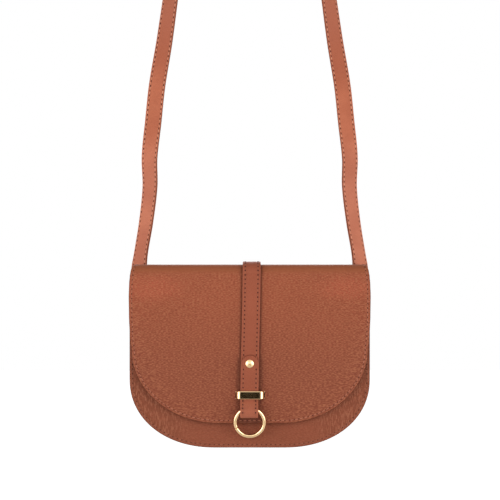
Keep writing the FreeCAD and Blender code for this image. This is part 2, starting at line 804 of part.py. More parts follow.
def leg_stations():
    """Middle of the strap, its sideways direction and the direction out of its front face."""
    foot_y = leg_foot.y - strap_thickness / 2 - stand_off / 2
    points = [(leg_foot.z + stand_off / 2, strap_end_x, foot_y, 0.0)]
    points += [(strap_end_top + share * strap_loop_height, x, y, turn)
               for share, x, y, turn in leg_route]
    points.append((crown_tangent.z, crown_tangent.x, crown_depth, 90.0))
    for i, (z, x, y, turn) in enumerate(points):
        below = points[max(i - 1, 0)]
        above = points[min(i + 1, len(points) - 1)]
        lean = math.atan2(above[1] - below[1], above[0] - below[0]) if i else 0.0
        if i == len(points) - 1:
            lean = -slope_angle
        angle = math.radians(turn)
        level = V(math.cos(lean), 0, -math.sin(lean))
        side_way = level * math.cos(angle) + V(0, math.sin(angle), 0)
        face_way = V(0, -math.cos(angle), 0) + level * math.sin(angle)
        yield V(x, y, z), side_way, face_way


def make_leg(side, inner, outer):
    """One leg of the shoulder strap, lofted from the bag to the crown."""
    sections = [leg_section(place, side_way, face_way, inner, outer)
                for place, side_way, face_way in leg_stations()]
    leg = Part.makeLoft(sections, True, False)
    return leg if side > 0 else leg.mirror(V(0, 0, 0), X_AXIS)


def make_crown(inner, outer):
    """The strap over the hook or shoulder, turned edge-on to the front."""
    start = V(crown_radius, crown_depth, crown_centre.z)
    low, high = start + V(inner, 0, 0), start + V(outer, 0, 0)
    half = V(0, strap_width / 2, 0)
    section = polygon_face([low - half, high - half, high + half, low + half])
    slope_deg = math.degrees(slope_angle)
    section.rotate(crown_centre, Y_AXIS, -slope_deg)
    return section.revolve(crown_centre, -Y_AXIS, 180.0 - 2 * slope_deg)


face_ply = (bond / 2, bond / 2 + strap_ply)
back_ply = (-bond / 2 - strap_ply, -bond / 2)


# Write every piece ---------------------------------------------------------------------------

pieces = {
    "front_panel": make_front_panel,
    "back_panel": make_back_panel,
    "gusset": make_gusset,
    "front_board": make_front_board,
    "back_board": make_back_board,
    "front_lining": make_front_lining,
    "back_lining": make_back_lining,
    "gusset_lining": make_gusset_lining,
    "front_facing": make_front_facing,
    "back_facing": make_back_facing,
    "zip_tapes": make_zip_tapes,
    "zip_teeth": make_zip_teeth,
    "zip_stops": make_zip_stops,
    "zip_pocket_bag": make_pocket_bag,
    "zip_slider": make_slider,
    "zip_pull": make_pull,
    "flap_leather": make_flap_leather,
    "flap_board": make_flap_board,
    "flap_lining": make_flap_lining,
    "flap_bridge_leather": make_bridge_leather,
    "flap_bridge_lining": make_bridge_lining,
    "flap_tail": make_flap_tail,
    "centre_strap": make_centre_strap,
    "centre_strap_bridge": make_strap_bridge,
    "centre_strap_tail": make_strap_tail,
    "closure_ring": make_ring,
    "closure_rivet": make_rivet,
    "closure_rivet_base": make_rivet_base,
    "keeper": make_keeper,
    "keeper_plate": make_keeper_plate,
    "snap_socket": make_snap_socket,
    "snap_socket_washer": make_snap_socket_washer,
    "snap_stud": make_snap_stud,
    "snap_stud_washer": make_snap_stud_washer,
    "strap_end_left": lambda: make_strap_end(-1),
    "strap_end_right": lambda: make_strap_end(1),
    "strap_rivets": make_strap_rivets,
    "strap_face_left": lambda: make_leg(-1, *face_ply),
    "strap_face_right": lambda: make_leg(1, *face_ply),
    "strap_backing_left": lambda: make_leg(-1, *back_ply),
    "strap_backing_right": lambda: make_leg(1, *back_ply),
    "strap_face_crown": lambda: make_crown(*face_ply),
    "strap_backing_crown": lambda: make_crown(*back_ply),
}

os.makedirs("parts", exist_ok=True)
for name, make in pieces.items():
    shape = make()
    shape.translate(-hang_point)
    shape.exportStep(os.path.join("parts", name + ".step"))
    print(f"{name}: {len(shape.Solids)} solid(s), valid {shape.isValid()}, "
          f"{shape.Volume:.1f} cubic millimetres")

for name, point in (
    ("hang point in body places", hang_point),
    ("strap hinge", leg_foot - hang_point),
    ("flap hinge", flap_hinge_point - hang_point),
    ("flap fold", flap_fold_point - hang_point),
    ("ring swing", loop_centre - hang_point),
    ("pull swing", back_point(pull_pivot_y, pull_pivot_z) + V(slider_x, 0, 0) - hang_point),
):
    print(f"{name}: {point.x:.3f}, {point.y:.3f}, {point.z:.3f}")
print(f"slider travel: {slider_travel:.1f}, back lean: {back_lean:.3f} degrees")
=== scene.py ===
# Sling bag in tan leather with a gilt ring closure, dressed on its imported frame.
import math

import bmesh
import bpy
from mathutils import Matrix, Vector, noise


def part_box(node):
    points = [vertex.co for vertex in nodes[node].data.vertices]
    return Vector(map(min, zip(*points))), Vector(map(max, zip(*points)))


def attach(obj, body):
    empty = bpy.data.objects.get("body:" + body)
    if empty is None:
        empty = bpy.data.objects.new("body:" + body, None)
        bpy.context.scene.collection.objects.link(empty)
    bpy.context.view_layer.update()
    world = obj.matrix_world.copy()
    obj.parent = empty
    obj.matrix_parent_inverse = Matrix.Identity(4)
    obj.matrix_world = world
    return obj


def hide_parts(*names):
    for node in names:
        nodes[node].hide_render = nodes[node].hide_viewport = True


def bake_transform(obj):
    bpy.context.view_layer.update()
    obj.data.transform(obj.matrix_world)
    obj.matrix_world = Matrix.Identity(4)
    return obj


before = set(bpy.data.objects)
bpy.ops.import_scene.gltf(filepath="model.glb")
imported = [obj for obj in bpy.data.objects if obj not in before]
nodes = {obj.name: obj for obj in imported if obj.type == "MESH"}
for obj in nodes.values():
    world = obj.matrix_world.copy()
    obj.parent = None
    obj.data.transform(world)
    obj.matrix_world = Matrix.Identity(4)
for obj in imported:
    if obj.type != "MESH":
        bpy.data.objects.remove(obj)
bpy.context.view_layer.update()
print("frame loaded:", len(nodes), "nodes")

mm = 0.001

# Sizes that every piece shares, in millimetres. The base of the bag is at z = 0, the middle of its depth at y = 0.
bag = {
    "halfWidth": 120.5, "mouth": 168.0, "backTop": 173.0, "depth": 64.0, "mouthDepth": 46.0,
    "cornerRun": 85.5, "cornerRise": 67.5, "leather": 1.6, "gussetLeather": 1.3, "flange": 6.0,
    "baseSag": 1.2, "fullness": 2.12,
}
frontFace, backFace = -bag["depth"] / 2, bag["depth"] / 2
backLean = math.atan((bag["depth"] - bag["mouthDepth"]) / bag["mouth"])
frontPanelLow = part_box("front_panel")[0]
baseMiddle = Vector((0, frontPanelLow.y - frontFace * mm, frontPanelLow.z))
sideways, forward, upward = Vector((1, 0, 0)), Vector((0, -1, 0)), Vector((0, 0, 1))
backOut = Vector((0, math.cos(backLean), math.sin(backLean)))
backDown = Vector((0, math.sin(backLean), -math.cos(backLean)))


def place(x, y, z):
    return baseMiddle + Vector((x, y, z)) * mm


def leaned(x, y, z):  # from an upright back to the back as it leans in
    reach = y - backFace
    return place(x, backFace + reach * math.cos(backLean) - z * math.sin(backLean),
                 reach * math.sin(backLean) + z * math.cos(backLean))


def heightOf(point):  # in millimetres above the base
    return (point.z - baseMiddle.z) / mm


def depthOf(point):  # in millimetres behind the middle
    return (point.y - baseMiddle.y) / mm


def ease(value, low, high):  # 0 below low, 1 above high, smooth between them
    t = min(max((value - low) / (high - low), 0.0), 1.0)
    return t * t * (3 - 2 * t)


def between(a, b, count):  # count values from a up to b, without b
    return [a + (b - a) * i / count for i in range(count)]


def through(a, b, count):  # the same, with b
    return [*between(a, b, count), b]


def ripple(x, y, z, size):  # smooth unevenness from -1 to 1, with waves of about that many millimetres
    return noise.noise(Vector((x, y, z)) / size)


# Materials. Their sizes are in millimetres and their colours are sRGB.
def toLinear(hexColour):
    channels = [int(hexColour[i:i + 2], 16) / 255 for i in (1, 3, 5)]
    return [c / 12.92 if c <= 0.04045 else ((c + 0.055) / 1.055) ** 2.4 for c in channels] + [1.0]


# Usual settings of two kinds of node, the inputs that a plain list of values goes to, and the output that is read.
usualNodes = {
    "Mix": ({"data_type": "RGBA"}, (0, 6, 7), 2),
    "MapRange": ({"interpolation_type": "SMOOTHSTEP"}, range(5), 0),
}


def addNode(tree, kind, inputs=(), output=None, **settings):
    # Values come by input name, or in order. Another node's output is linked, and a colour is written in hex.
    usual, order, main = usualNodes.get(kind, ({}, range(len(inputs)), 0))
    node = tree.nodes.new(kind if "Node" in kind else "ShaderNode" + kind)
    for name, value in {**usual, **settings}.items():
        setattr(node, name, value)
    for name, value in inputs.items() if isinstance(inputs, dict) else zip(order, inputs):
        if isinstance(value, bpy.types.NodeSocket):
            tree.links.new(value, node.inputs[name])
        else:
            isColour = isinstance(value, str) and value.startswith("#")
            node.inputs[name].default_value = toLinear(value) if isColour else value
    if output == "all" or not len(node.outputs):
        return node.outputs
    return node.outputs[main if output is None else output]


def newFinish(name):
    finish = bpy.data.materials.new(name)
    finish.use_nodes = True
    finish.node_tree.nodes.clear()
    return finish, finish.node_tree


def finished(finish, inputs):
    surface = addNode(finish.node_tree, "BsdfPrincipled", inputs)
    addNode(finish.node_tree, "OutputMaterial", [surface])
    return finish


def perUnit(size):  # how many cells of this size go to one unit, as one value or in three directions
    return [1 / (each * mm) for each in size] if isinstance(size, tuple) else 1 / (size * mm)


def flecksOver(tree, source, sizes, detail):  # noise drawn out to these sizes
    where = addNode(tree, "Mapping", {"Vector": source, "Scale": perUnit(sizes)})
    return addNode(tree, "TexNoise", {"Vector": where, "Scale": 1.0, "Detail": detail})


def reachFrom(tree, x, z, middle, radii):  # level distance from a middle, in these radii
    flat = addNode(tree, "CombineXYZ", {"X": x, "Z": z})
    centred = addNode(tree, "VectorMath", [flat, (middle[0], 0.0, middle[1])], operation="SUBTRACT")
    scaled = addNode(tree, "Mapping", {"Vector": centred, "Scale": perUnit((radii[0], 1.0, radii[1]))})
    return addNode(tree, "VectorMath", [scaled], "Value", operation="LENGTH")


def lightAndShadeOn(tree, apart, look, body):
    # Broad, soft changes of colour that paint light and shade on the hide. Each is drawn when the look names a colour
    # for it.
    if look.get("lowerShadeColour"):  # painted shade: the lower part of the hide is drawn a little darker, as less light reaches it
        low, high = (place(0, 0, look[end]).z for end in ("lowerTo", "lowerFrom"))
        lower = addNode(tree, "MapRange", [apart["Z"], low, high, 1.0, 0.0])
        body = addNode(tree, "Mix", [lower, body, look["lowerShadeColour"]])
    if look.get("cornerHighlightColour"):  # painted highlight: both upper corners of the flap are drawn lighter and redder, where they catch the light
        across, height = look["cornerHighlightAt"]
        aside = addNode(tree, "Math", [apart["X"]], operation="ABSOLUTE")
        reach = reachFrom(tree, aside, apart["Z"], (across * mm, place(0, 0, height).z), look["cornerHighlightMm"])
        cornerHighlight = addNode(tree, "MapRange", [reach, 0.2, 1.0, look["cornerHighlightDepth"], 0.0])
        body = addNode(tree, "Mix", [cornerHighlight, body, look["cornerHighlightColour"]])
    if look.get("lengthLightingColour"):  # painted light and shade along one length of a strap: the shoulder strap is drawn darker over its upper legs and crown, and the centre strap lighter where it runs up under the keeper
        away = addNode(tree, "Math", [apart["Z"], look["lengthMiddle"] * mm], operation="SUBTRACT")
        away = addNode(tree, "Math", [away], operation="ABSOLUTE")
        toned = addNode(tree, "MapRange", [away, look["lengthFrom"] * mm, look["lengthTo"] * mm, 1.0, 0.0])
        body = addNode(tree, "Mix", [toned, body, look["lengthLightingColour"]])
    return body


def pleatsOn(tree, source, look, colour, height):
    # Gathered creases at the corners, where the piece is marked: the bump raises them, and their colour is painted
    # shade in the folds and a painted highlight on the ridges.
    pleat = flecksOver(tree, source, look["pleatMm"], 0.5)
    amount = addNode(tree, "Attribute", output="Fac", attribute_name="pleated")
    raised = addNode(tree, "Math", [pleat, amount], operation="MULTIPLY")
    height = addNode(tree, "Math", [raised, look["pleatBump"], height], operation="MULTIPLY_ADD")
    for low, high, tone in ((0.42, 0.62, "creaseColour"), (0.5, 0.34, "poreColour")):
        share = addNode(tree, "MapRange", [pleat, low, high, 0.0, look["pleatShade"]])
        share = addNode(tree, "Math", [share, amount], operation="MULTIPLY")
        colour = addNode(tree, "Mix", [share, colour, look[tone]])
    return colour, height


def tabShadowLine(tree, apart, look, colour):
    # A painted shadow: a dark line round the rounded tip of a turned-up end, on the strap beneath it.
    reach = reachFrom(tree, apart["X"], apart["Z"], (0.0, look["tabShadowMiddle"] * mm), (1.0, 1.0))
    start, rim = look["tabShadowFrom"], look["tabShadowRim"]
    outer = addNode(tree, "MapRange", [reach, start, look["tabShadowTo"], look["tabShadowDepth"], 0.0])
    inner = addNode(tree, "MapRange", [reach, start - rim, start, 0.0, 1.0])
    line = addNode(tree, "Math", [outer, inner], operation="MULTIPLY")
    return addNode(tree, "Mix", [line, colour, look["creaseColour"]])


def paintShadowBeside(tree, apart, look, colour):
    # Painted shadow along both sides of the centre strap, which stands off the flap: wider and deeper where the strap
    # is doubled.
    ends = [place(0, 0, z).z for z in look["besideHeights"]]
    askew = addNode(tree, "MapRange", [apart["Z"], *ends, *(x * mm for x in look["besideMiddle"])])
    away = addNode(tree, "Math", [apart["X"], askew], operation="SUBTRACT")
    away = addNode(tree, "Math", [away], operation="ABSOLUTE")
    start, end = (place(0, 0, z).z for z in look["doubledTo"])
    edge, shares = look["besideFrom"], []
    for key, below, above in (("besideSingle", 0.0, 1.0), ("besideDoubled", 1.0, 0.0)):
        width, depth = look[key]
        near = addNode(tree, "MapRange", [away, edge * mm, (edge + width) * mm, depth, 0.0])
        here = addNode(tree, "MapRange", [apart["Z"], start, end, below, above])
        shares.append(addNode(tree, "Math", [near, here], operation="MULTIPLY"))
    both = addNode(tree, "Math", shares, operation="ADD")
    return addNode(tree, "Mix", [both, colour, look["besideShadowColour"]])


def leather(name, look):
    # Drum-dyed cowhide with a pressed pebble grain: soft broad highlights, darker in the creases between pebbles.
    finish, tree = newFinish(name)
    if look.get("along"):  # the pattern follows a strap as if it lay flat
        source = addNode(tree, "Attribute", output="Vector", attribute_name=look["along"])
    else:
        source = addNode(tree, "TexCoord", output="Object")
    apart = addNode(tree, "SeparateXYZ", [source], "all")
    pulled = addNode(tree, "Attribute", output="Fac", attribute_name="stretched") if look["stretched"] else None

    def calmed(value, rest):  # the grain is pulled smooth where the hide bends
        if pulled is None:
            return value
        share = addNode(tree, "MapRange", [pulled, 0.0, 1.0, 1.0, rest])
        return addNode(tree, "Math", [value, share], operation="MULTIPLY")

    wander = addNode(tree, "TexNoise", {"Vector": source, "Scale": perUnit(look["wanderMm"])}, "Color")
    offset = addNode(tree, "VectorMath", {0: wander, "Scale": look["wander"] * mm}, operation="SCALE")
    bent = addNode(tree, "VectorMath", [source, offset], operation="ADD")
    where = addNode(tree, "Mapping", {"Vector": bent, "Scale": perUnit(look["grainMm"])})
    pebble = addNode(tree, "TexVoronoi", {"Vector": where, "Scale": 1.0}, "Distance", feature="DISTANCE_TO_EDGE")
    pores = flecksOver(tree, source, look["poreMm"], 0.5)
    patch = addNode(tree, "TexNoise", {"Vector": source, "Scale": perUnit(look["patchMm"]), "Detail": 3.0})
    patch = addNode(tree, "MapRange", [patch, 0.35, 0.65, 0.0, 1.0])
    body = lightAndShadeOn(tree, apart, look, addNode(tree, "Mix", [patch, look["colour"], look["patchColour"]]))
    if pulled is not None:
        body = addNode(tree, "Mix", [pulled, body, look["stretchedColour"]])
    shade = calmed(addNode(tree, "MapRange", [pebble, 0.0, look["creaseReach"], look["creaseDepth"], 0.0]), 0.3)
    tone = calmed(addNode(tree, "MapRange", [pores, 0.36, 0.7, 0.0, look["poreShade"]]), 0.2)
    colour = addNode(tree, "Mix", [shade, body, look["creaseColour"]])
    colour = addNode(tree, "Mix", [tone, colour, look["poreColour"]])
    crown = calmed(addNode(tree, "MapRange", [pebble, 0.0, 0.32, 0.0, 1.0]), 0.25)
    height = addNode(tree, "Math", [pores, look["poreBump"], crown], operation="MULTIPLY_ADD")
    if look.get("pleatMm"):
        colour, height = pleatsOn(tree, source, look, colour, height)
    if look.get("tabShadowMiddle"):
        colour = tabShadowLine(tree, apart, look, colour)
    if look.get("besideShadowColour"):
        colour = paintShadowBeside(tree, apart, look, colour)
    bump = addNode(tree, "Bump", {"Height": height, "Strength": look["bump"], "Distance": look["bumpMm"] * mm})
    rough = addNode(tree, "MapRange", [pebble, 0.0, 0.3, look["roughness"] + 0.1, look["roughness"]])
    return finished(finish, {"Base Color": colour, "Normal": bump, "Roughness": rough,
                             "Specular IOR Level": look["shine"], "IOR": 1.5})


bodyLook = {
    "colour": "#974B31", "patchColour": "#91472E", "patchMm": 60.0,
    "creaseColour": "#713821", "poreColour": "#BA7450",
    "grainMm": (3.4, 1.6, 1.7), "wander": 0.8, "wanderMm": 11.0, "poreMm": (2.4, 1.0, 0.72), "poreShade": 0.42,
    "poreBump": 0.5, "creaseReach": 0.24, "creaseDepth": 0.36, "bump": 0.4, "bumpMm": 0.28,
    "roughness": 0.55, "shine": 0.25, "stretched": True, "stretchedColour": "#965233",
    # Painted shade: the hide is drawn darker from lowerFrom down to lowerTo.
    "lowerShadeColour": "#83402B", "lowerFrom": 165.0, "lowerTo": 60.0,
}
bodyLeather = leather("tanPebbledCowhide", bodyLook)
# The flap carries a painted highlight at both upper corners and a painted shadow along both sides of the centre
# strap.
flapLeather = leather("tanPebbledFlapCowhide", {
    **bodyLook, "cornerHighlightColour": "#B8583F", "cornerHighlightAt": (97.0, 159.0), "cornerHighlightMm": (40.0, 18.0), "cornerHighlightDepth": 0.42,
    "besideShadowColour": "#2E1208", "besideHeights": (20.0, 190.0), "besideMiddle": (-0.6, 2.0), "besideFrom": 8.8,
    "doubledTo": (86.0, 96.0), "besideSingle": (3.2, 0.62), "besideDoubled": (6.5, 0.44),
})
# The front panel's leather is drawn darker than the rest: painted shade, for the flap's shadow over it.
shadedPanelLeather = leather("tanPebbledCowhidePleated", {
    **bodyLook, "colour": "#8C4830", "patchColour": "#88462E", "poreColour": "#A2664A", "lowerShadeColour": None,
    "bump": 0.5, "creaseDepth": 0.35, "poreShade": 0.2, "stretched": False,
    "pleatMm": (0.85, 6.0, 4.6), "pleatBump": 1.4, "pleatShade": 0.42,
})
strapLook = {
    **bodyLook, "lowerShadeColour": None, "colour": "#C57253", "patchColour": "#B46346", "patchMm": 45.0,
    "creaseColour": "#8A432A", "poreColour": "#C87E60", "grainMm": (0.9, 1.1, 0.9), "wander": 0.6, "wanderMm": 2.5,
    "poreMm": (0.6, 0.6, 1.2), "poreShade": 0.15, "creaseDepth": 0.3, "bump": 0.25, "bumpMm": 0.15,
    "roughness": 0.44, "along": "strapPlace", "stretched": False,
}
strapLeather = leather("tanSmoothStrapLeather", {
    # Painted shade: the upper legs and crown are drawn darker.
    **strapLook, "lengthLightingColour": "#AA5B3F", "lengthMiddle": 625.0, "lengthFrom": 362.0, "lengthTo": 404.0,
})
strapBackLeather = leather("tanSuedeStrapBacking", {
    **strapLook, "colour": "#B26A50", "patchColour": "#A86248", "roughness": 0.75, "poreShade": 0.3, "shine": 0.2,
})
centreLeather = leather("tanSmoothCentreStrap", {
    **strapLook, "colour": "#9E533A", "patchColour": "#954D35", "creaseColour": "#753924", "poreColour": "#AA664A",
    # Painted light: the length that runs up under the keeper is drawn lighter.
    "lengthLightingColour": "#AB6046", "lengthMiddle": 192.0, "lengthFrom": 9.0, "lengthTo": 13.0,
    # Painted shadow: a dark line round the tip of the turned-up end, on the strap beneath.
    "tabShadowMiddle": 125.7, "tabShadowFrom": 8.6, "tabShadowTo": 10.8, "tabShadowRim": 0.4, "tabShadowDepth": 0.8,
})
liningLeather = leather("brownSplitLining", {
    **bodyLook, "lowerShadeColour": None, "colour": "#94573F", "patchColour": "#8B5038", "creaseColour": "#6F3E2B",
    "poreColour": "#A56B54", "grainMm": (0.8, 0.8, 0.8), "creaseDepth": 0.4, "roughness": 0.7, "bump": 0.3,
    "bumpMm": 0.15, "stretched": False,
})


def edgePaint(name, colour, wornColour, shine):
    # Acrylic edge paint over burnished leather, rounded and slightly glossy, with a few drips.
    finish, tree = newFinish(name)
    source = addNode(tree, "TexCoord", output="Object")
    drips = addNode(tree, "TexNoise", {"Vector": source, "Scale": perUnit(2.5), "Detail": 3.0})
    toned = addNode(tree, "MapRange", [drips, 0.4, 0.7, 0.0, 0.7])
    bump = addNode(tree, "Bump", {"Height": drips, "Strength": 0.3, "Distance": 0.2 * mm})
    return finished(finish, {"Base Color": addNode(tree, "Mix", [toned, colour, wornColour]), "Normal": bump,
                             "Roughness": 0.5, "Specular IOR Level": shine})


paintedEdge = edgePaint("brownEdgePaint", "#552A19", "#683722", 0.05)
centreEdge = edgePaint("tanCentreEdgePaint", "#9C553C", "#AE674C", 0.1)
strapEdge = edgePaint("brownStrapEdgePaint", "#7C432E", "#90523A", 0.05)
bandsPerUnit = 20  # a wave's own scale


def sewingThread(name, colour, lightColour):
    # Bonded polyester thread, three plies twisted every half millimetre: short diagonal ridges and a dull sheen.
    finish, tree = newFinish(name)
    source = addNode(tree, "TexCoord", output="Object")
    twist = addNode(tree, "TexWave", {"Vector": source, "Scale": perUnit(0.5) / bandsPerUnit, "Distortion": 0.5},
                    "Fac", bands_direction="DIAGONAL")
    bump = addNode(tree, "Bump", {"Height": twist, "Strength": 0.5, "Distance": 0.1 * mm})
    return finished(finish, {"Base Color": addNode(tree, "Mix", [twist, colour, lightColour]), "Normal": bump,
                             "Roughness": 0.65})


bodyThread = sewingThread("tanBondedThread", "#A05B41", "#B36D52")
panelThread = sewingThread("brownBondedThread", "#8A4C34", "#9A5A40")
centreThread = sewingThread("tanBondedCentreThread", "#945030", "#A35E3C")
strapThread = sewingThread("tanBondedStrapThread", "#C98565", "#D69A7C")


def needleHole(name, colour, rimColour):
    # A needle hole as a dark, matt spot: the pulled-in leather round it, with painted shade for the hole itself, and
    # only a little variation.
    finish, tree = newFinish(name)
    source = addNode(tree, "TexCoord", output="Object")
    speck = addNode(tree, "TexNoise", {"Vector": source, "Scale": perUnit(3.0)})
    return finished(finish, {"Base Color": addNode(tree, "Mix", [speck, colour, rimColour]), "Roughness": 0.85})


punchedHole = needleHole("punchedNeedleHole", "#45180B", "#5E2614")
redHole = needleHole("redBrownNeedleHole", "#3C0F06", "#54190A")


def metal(name, colour, cloudColour, roughness):
    # Polished and plated metal: mirror-like or satin, with fine polishing lines and slightly cloudy patches.
    finish, tree = newFinish(name)
    source = addNode(tree, "TexCoord", output="Object")
    clouds = addNode(tree, "TexNoise", {"Vector": source, "Scale": perUnit(5.0)})
    rub = flecksOver(tree, source, (6.0, 0.5, 0.5), 3.0)
    rough = addNode(tree, "MapRange", [rub, 0.3, 0.7, roughness * 0.85, roughness * 1.15])
    bump = addNode(tree, "Bump", {"Height": clouds, "Strength": 0.03, "Distance": 0.05 * mm})
    return finished(finish, {"Base Color": addNode(tree, "Mix", [clouds, colour, cloudColour]), "Normal": bump,
                             "Roughness": rough, "Metallic": 1.0})


giltMetal = metal("paleGoldPlatedZinc", "#F6D5A6", "#F0CB98", 0.055)
rivetMetal = metal("paleGoldSatinRivet", "#F6D5A6", "#F0CB98", 0.32)
steelMetal = metal("nickelPlatedSteel", "#C9C7C2", "#BDBBB6", 0.28)


def wovenCloth(name, colour, fadedColour, gapColour, ribMm, slubMm):
    # Cotton twill: diagonal ribs half a millimetre apart, drawn a little wider so that they show.
    finish, tree = newFinish(name)
    source = addNode(tree, "TexCoord", output="Object")
    ribs = addNode(tree, "TexWave", {"Vector": source, "Scale": perUnit(ribMm) / bandsPerUnit, "Distortion": 0.6,
                                     "Detail": 1.0}, "Fac", bands_direction="DIAGONAL")
    slubs = addNode(tree, "TexNoise", {"Vector": source, "Scale": perUnit(slubMm), "Detail": 3.0})
    toned = addNode(tree, "Mix", [slubs, colour, fadedColour])
    gaps = addNode(tree, "MapRange", [ribs, 0.0, 1.0, 0.45, 0.0])
    bump = addNode(tree, "Bump", {"Height": ribs, "Strength": 0.5, "Distance": 0.25 * mm})
    return finished(finish, {"Base Color": addNode(tree, "Mix", [gaps, toned, gapColour]), "Normal": bump,
                             "Roughness": 0.85, "Sheen Weight": 0.15})


liningCloth = wovenCloth("brownCottonTwill", "#7C5A46", "#8A6751", "#5A3E2F", 1.2, 6.0)
tapeCloth = wovenCloth("brownZipTape", "#6E4633", "#7A503C", "#4E3023", 0.9, 3.0)


def bondedBoard(name, colour, fibreColour):
    # Bonded leather-fibre board: grey-brown, matt, with pressed fibres.
    finish, tree = newFinish(name)
    source = addNode(tree, "TexCoord", output="Object")
    fibres = addNode(tree, "TexNoise", {"Vector": source, "Scale": perUnit(1.5), "Detail": 6.0})
    bump = addNode(tree, "Bump", {"Height": fibres, "Strength": 0.3, "Distance": 0.1 * mm})
    return finished(finish, {"Base Color": addNode(tree, "Mix", [fibres, colour, fibreColour]), "Normal": bump,
                             "Roughness": 0.9})


fibreBoard = bondedBoard("bondedFibreBoard", "#8C7560", "#A38B73")
print("finishes made")


# Helpers that build the pieces.
def addObject(name, data):
    added = bpy.data.objects.new(name, data)
    bpy.context.scene.collection.objects.link(added)
    return added


def smoothed(mesh):
    mesh.shade_smooth()
    mesh.set_sharp_from_angle(angle=math.radians(40))


def mark(mesh, attribute, kind, values):  # one value, or one flat run of vectors, for each point
    field = "vector" if kind == "FLOAT_VECTOR" else "value"
    mesh.attributes.new(attribute, kind, "POINT").data.foreach_set(field, values)


def makeMesh(name, points, faces, finishes, finishOf, places=None):
    mesh = bpy.data.meshes.new(name)
    mesh.from_pydata(points, [], faces)
    for finish in finishes:
        mesh.materials.append(finish)
    mesh.polygons.foreach_set("material_index", finishOf)
    if places:
        mark(mesh, "strapPlace", "FLOAT_VECTOR", [c for p in places for c in p])
    shape = bmesh.new()
    shape.from_mesh(mesh)
    bmesh.ops.recalc_face_normals(shape, faces=shape.faces)
    shape.to_mesh(mesh)
    shape.free()
    smoothed(mesh)
    return addObject(name, mesh)


def closedShell(name, rings, finishes, finishOf, places=None):
    # Rings of points that follow each other, all with the same count. A cap closes the first and the last ring.
    count = len(rings[0])
    faces, chosen = [], []
    for i in range(len(rings) - 1):
        for j in range(count):
            k = (j + 1) % count
            faces.append((i * count + j, i * count + k, (i + 1) * count + k, (i + 1) * count + j))
            chosen.append(finishOf(i, j))
    last = (len(rings) - 1) * count
    faces.append(tuple(reversed(range(count))))
    faces.append(tuple(range(last, last + count)))
    chosen += [finishOf(0, 0), finishOf(len(rings) - 2, 0)]
    return makeMesh(name, [p for ring in rings for p in ring], faces, finishes, chosen, places)


def evaluated(piece):  # a new mesh of the piece as its modifiers leave it
    graph = bpy.context.evaluated_depsgraph_get()
    return bpy.data.meshes.new_from_object(piece.evaluated_get(graph), depsgraph=graph)


def applied(piece):
    mesh, old = evaluated(piece), piece.data
    piece.modifiers.clear()
    piece.data = mesh
    bpy.data.meshes.remove(old)
    return piece


def handIn(piece, carrier, slotName=None, *replaced):  # the carrier is a body that the piece is attached to, or two bodies and the bend between, which are not used: the piece is then only baked where it stands
    if isinstance(carrier, str):
        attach(piece, carrier)
    else:
        lower, upper, start, end = carrier
        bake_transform(piece)
        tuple(start)
        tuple(end)
    if replaced:
        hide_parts(*replaced)


def quarter(run, rise, count, fullness=2.0):  # a rounded corner, from its foot out to its side; 2 is an ellipse
    power = 2 / fullness
    return [(run * math.sin(a) ** power, rise - rise * math.cos(a) ** power)
            for a in between(0.0, math.pi / 2, count)]


def corners(half, low, high):  # of an upright or level rectangle, once round
    return (-half, low), (half, low), (half, high), (-half, high)


def mirroredRow(row):  # the left half of an outline from its right half, met at the foot
    return [(-x, z) for x, z in reversed(row[1:])]


def bodyOutline(inset, top, mouth=True):  # round the body from its upper left, with or without its mouth
    cornerSteps, sideSteps, baseSteps = (26, 24, 16) if mouth else (30, 30, 14)
    side = bag["halfWidth"] - inset
    run, rise = bag["cornerRun"] - inset, bag["cornerRise"] - inset
    foot = side - run
    right = [(foot + x, inset + z) for x, z in quarter(run, rise, cornerSteps, bag["fullness"])]
    right += [(side, z) for z in between(bag["cornerRise"], top, sideSteps)]
    whole = mirroredRow(right) + [(x, inset) for x in between(-foot, foot, baseSteps)] + right
    if mouth:
        whole += [(x, top) for x in through(side, -side, 40)]
    else:
        whole = [(-side, top)] + whole + [(side, top)]
    # The soft base hangs a little lower than its pattern.
    return [(x, z - bag["baseSag"] * max(1 - z / bag["cornerRise"], 0.0)) for x, z in whole]


sewnRings = [7.0, 5.0, 3.8, 3.0, 2.2, 1.6]  # rings of the face that run beside its seam
leatherRim = [(1.0, 0.0), (0.4, 0.1), (0.1, 0.4)]  # how an edge rounds over: distance from the edge, and depth
faceReach = 1.3  # how far the face's finish comes round a band's edge, in radians


def plate(name, outlineAt, spine, thickness, surface, finishes, shares):
    # A sheet with a rounded rim. The spine is the level line that the inner rings shrink to.
    def shrunk(ring, share):
        rows = []
        for x, z in ring:
            core = min(max(x, -spine["half"]), spine["half"])
            rows.append((core + (x - core) * share, spine["height"] + (z - spine["height"]) * share))
        return rows

    inner = outlineAt(sewnRings[0])
    flatRings = [shrunk(inner, share) for share in shares] + [outlineAt(inset) for inset in sewnRings]
    rim = leatherRim + [(0.0, thickness / 2)] + [(inset, thickness - depth) for inset, depth in reversed(leatherRim)]
    rings = [[surface(x, 0.0, z) for x, z in ring] for ring in flatRings]
    rings += [[surface(x, depth, z) for x, z in outlineAt(inset)] for inset, depth in rim]
    rings += [[surface(x, thickness, z) for x, z in ring] for ring in reversed(flatRings)]
    faceEnd, backStart = len(flatRings) + 1, len(flatRings) + len(rim) - 2

    def finishOf(i, j):  # face, edge or back
        return 0 if i < faceEnd else 2 if i >= backStart else 1

    return closedShell(name, rings, finishes, finishOf)


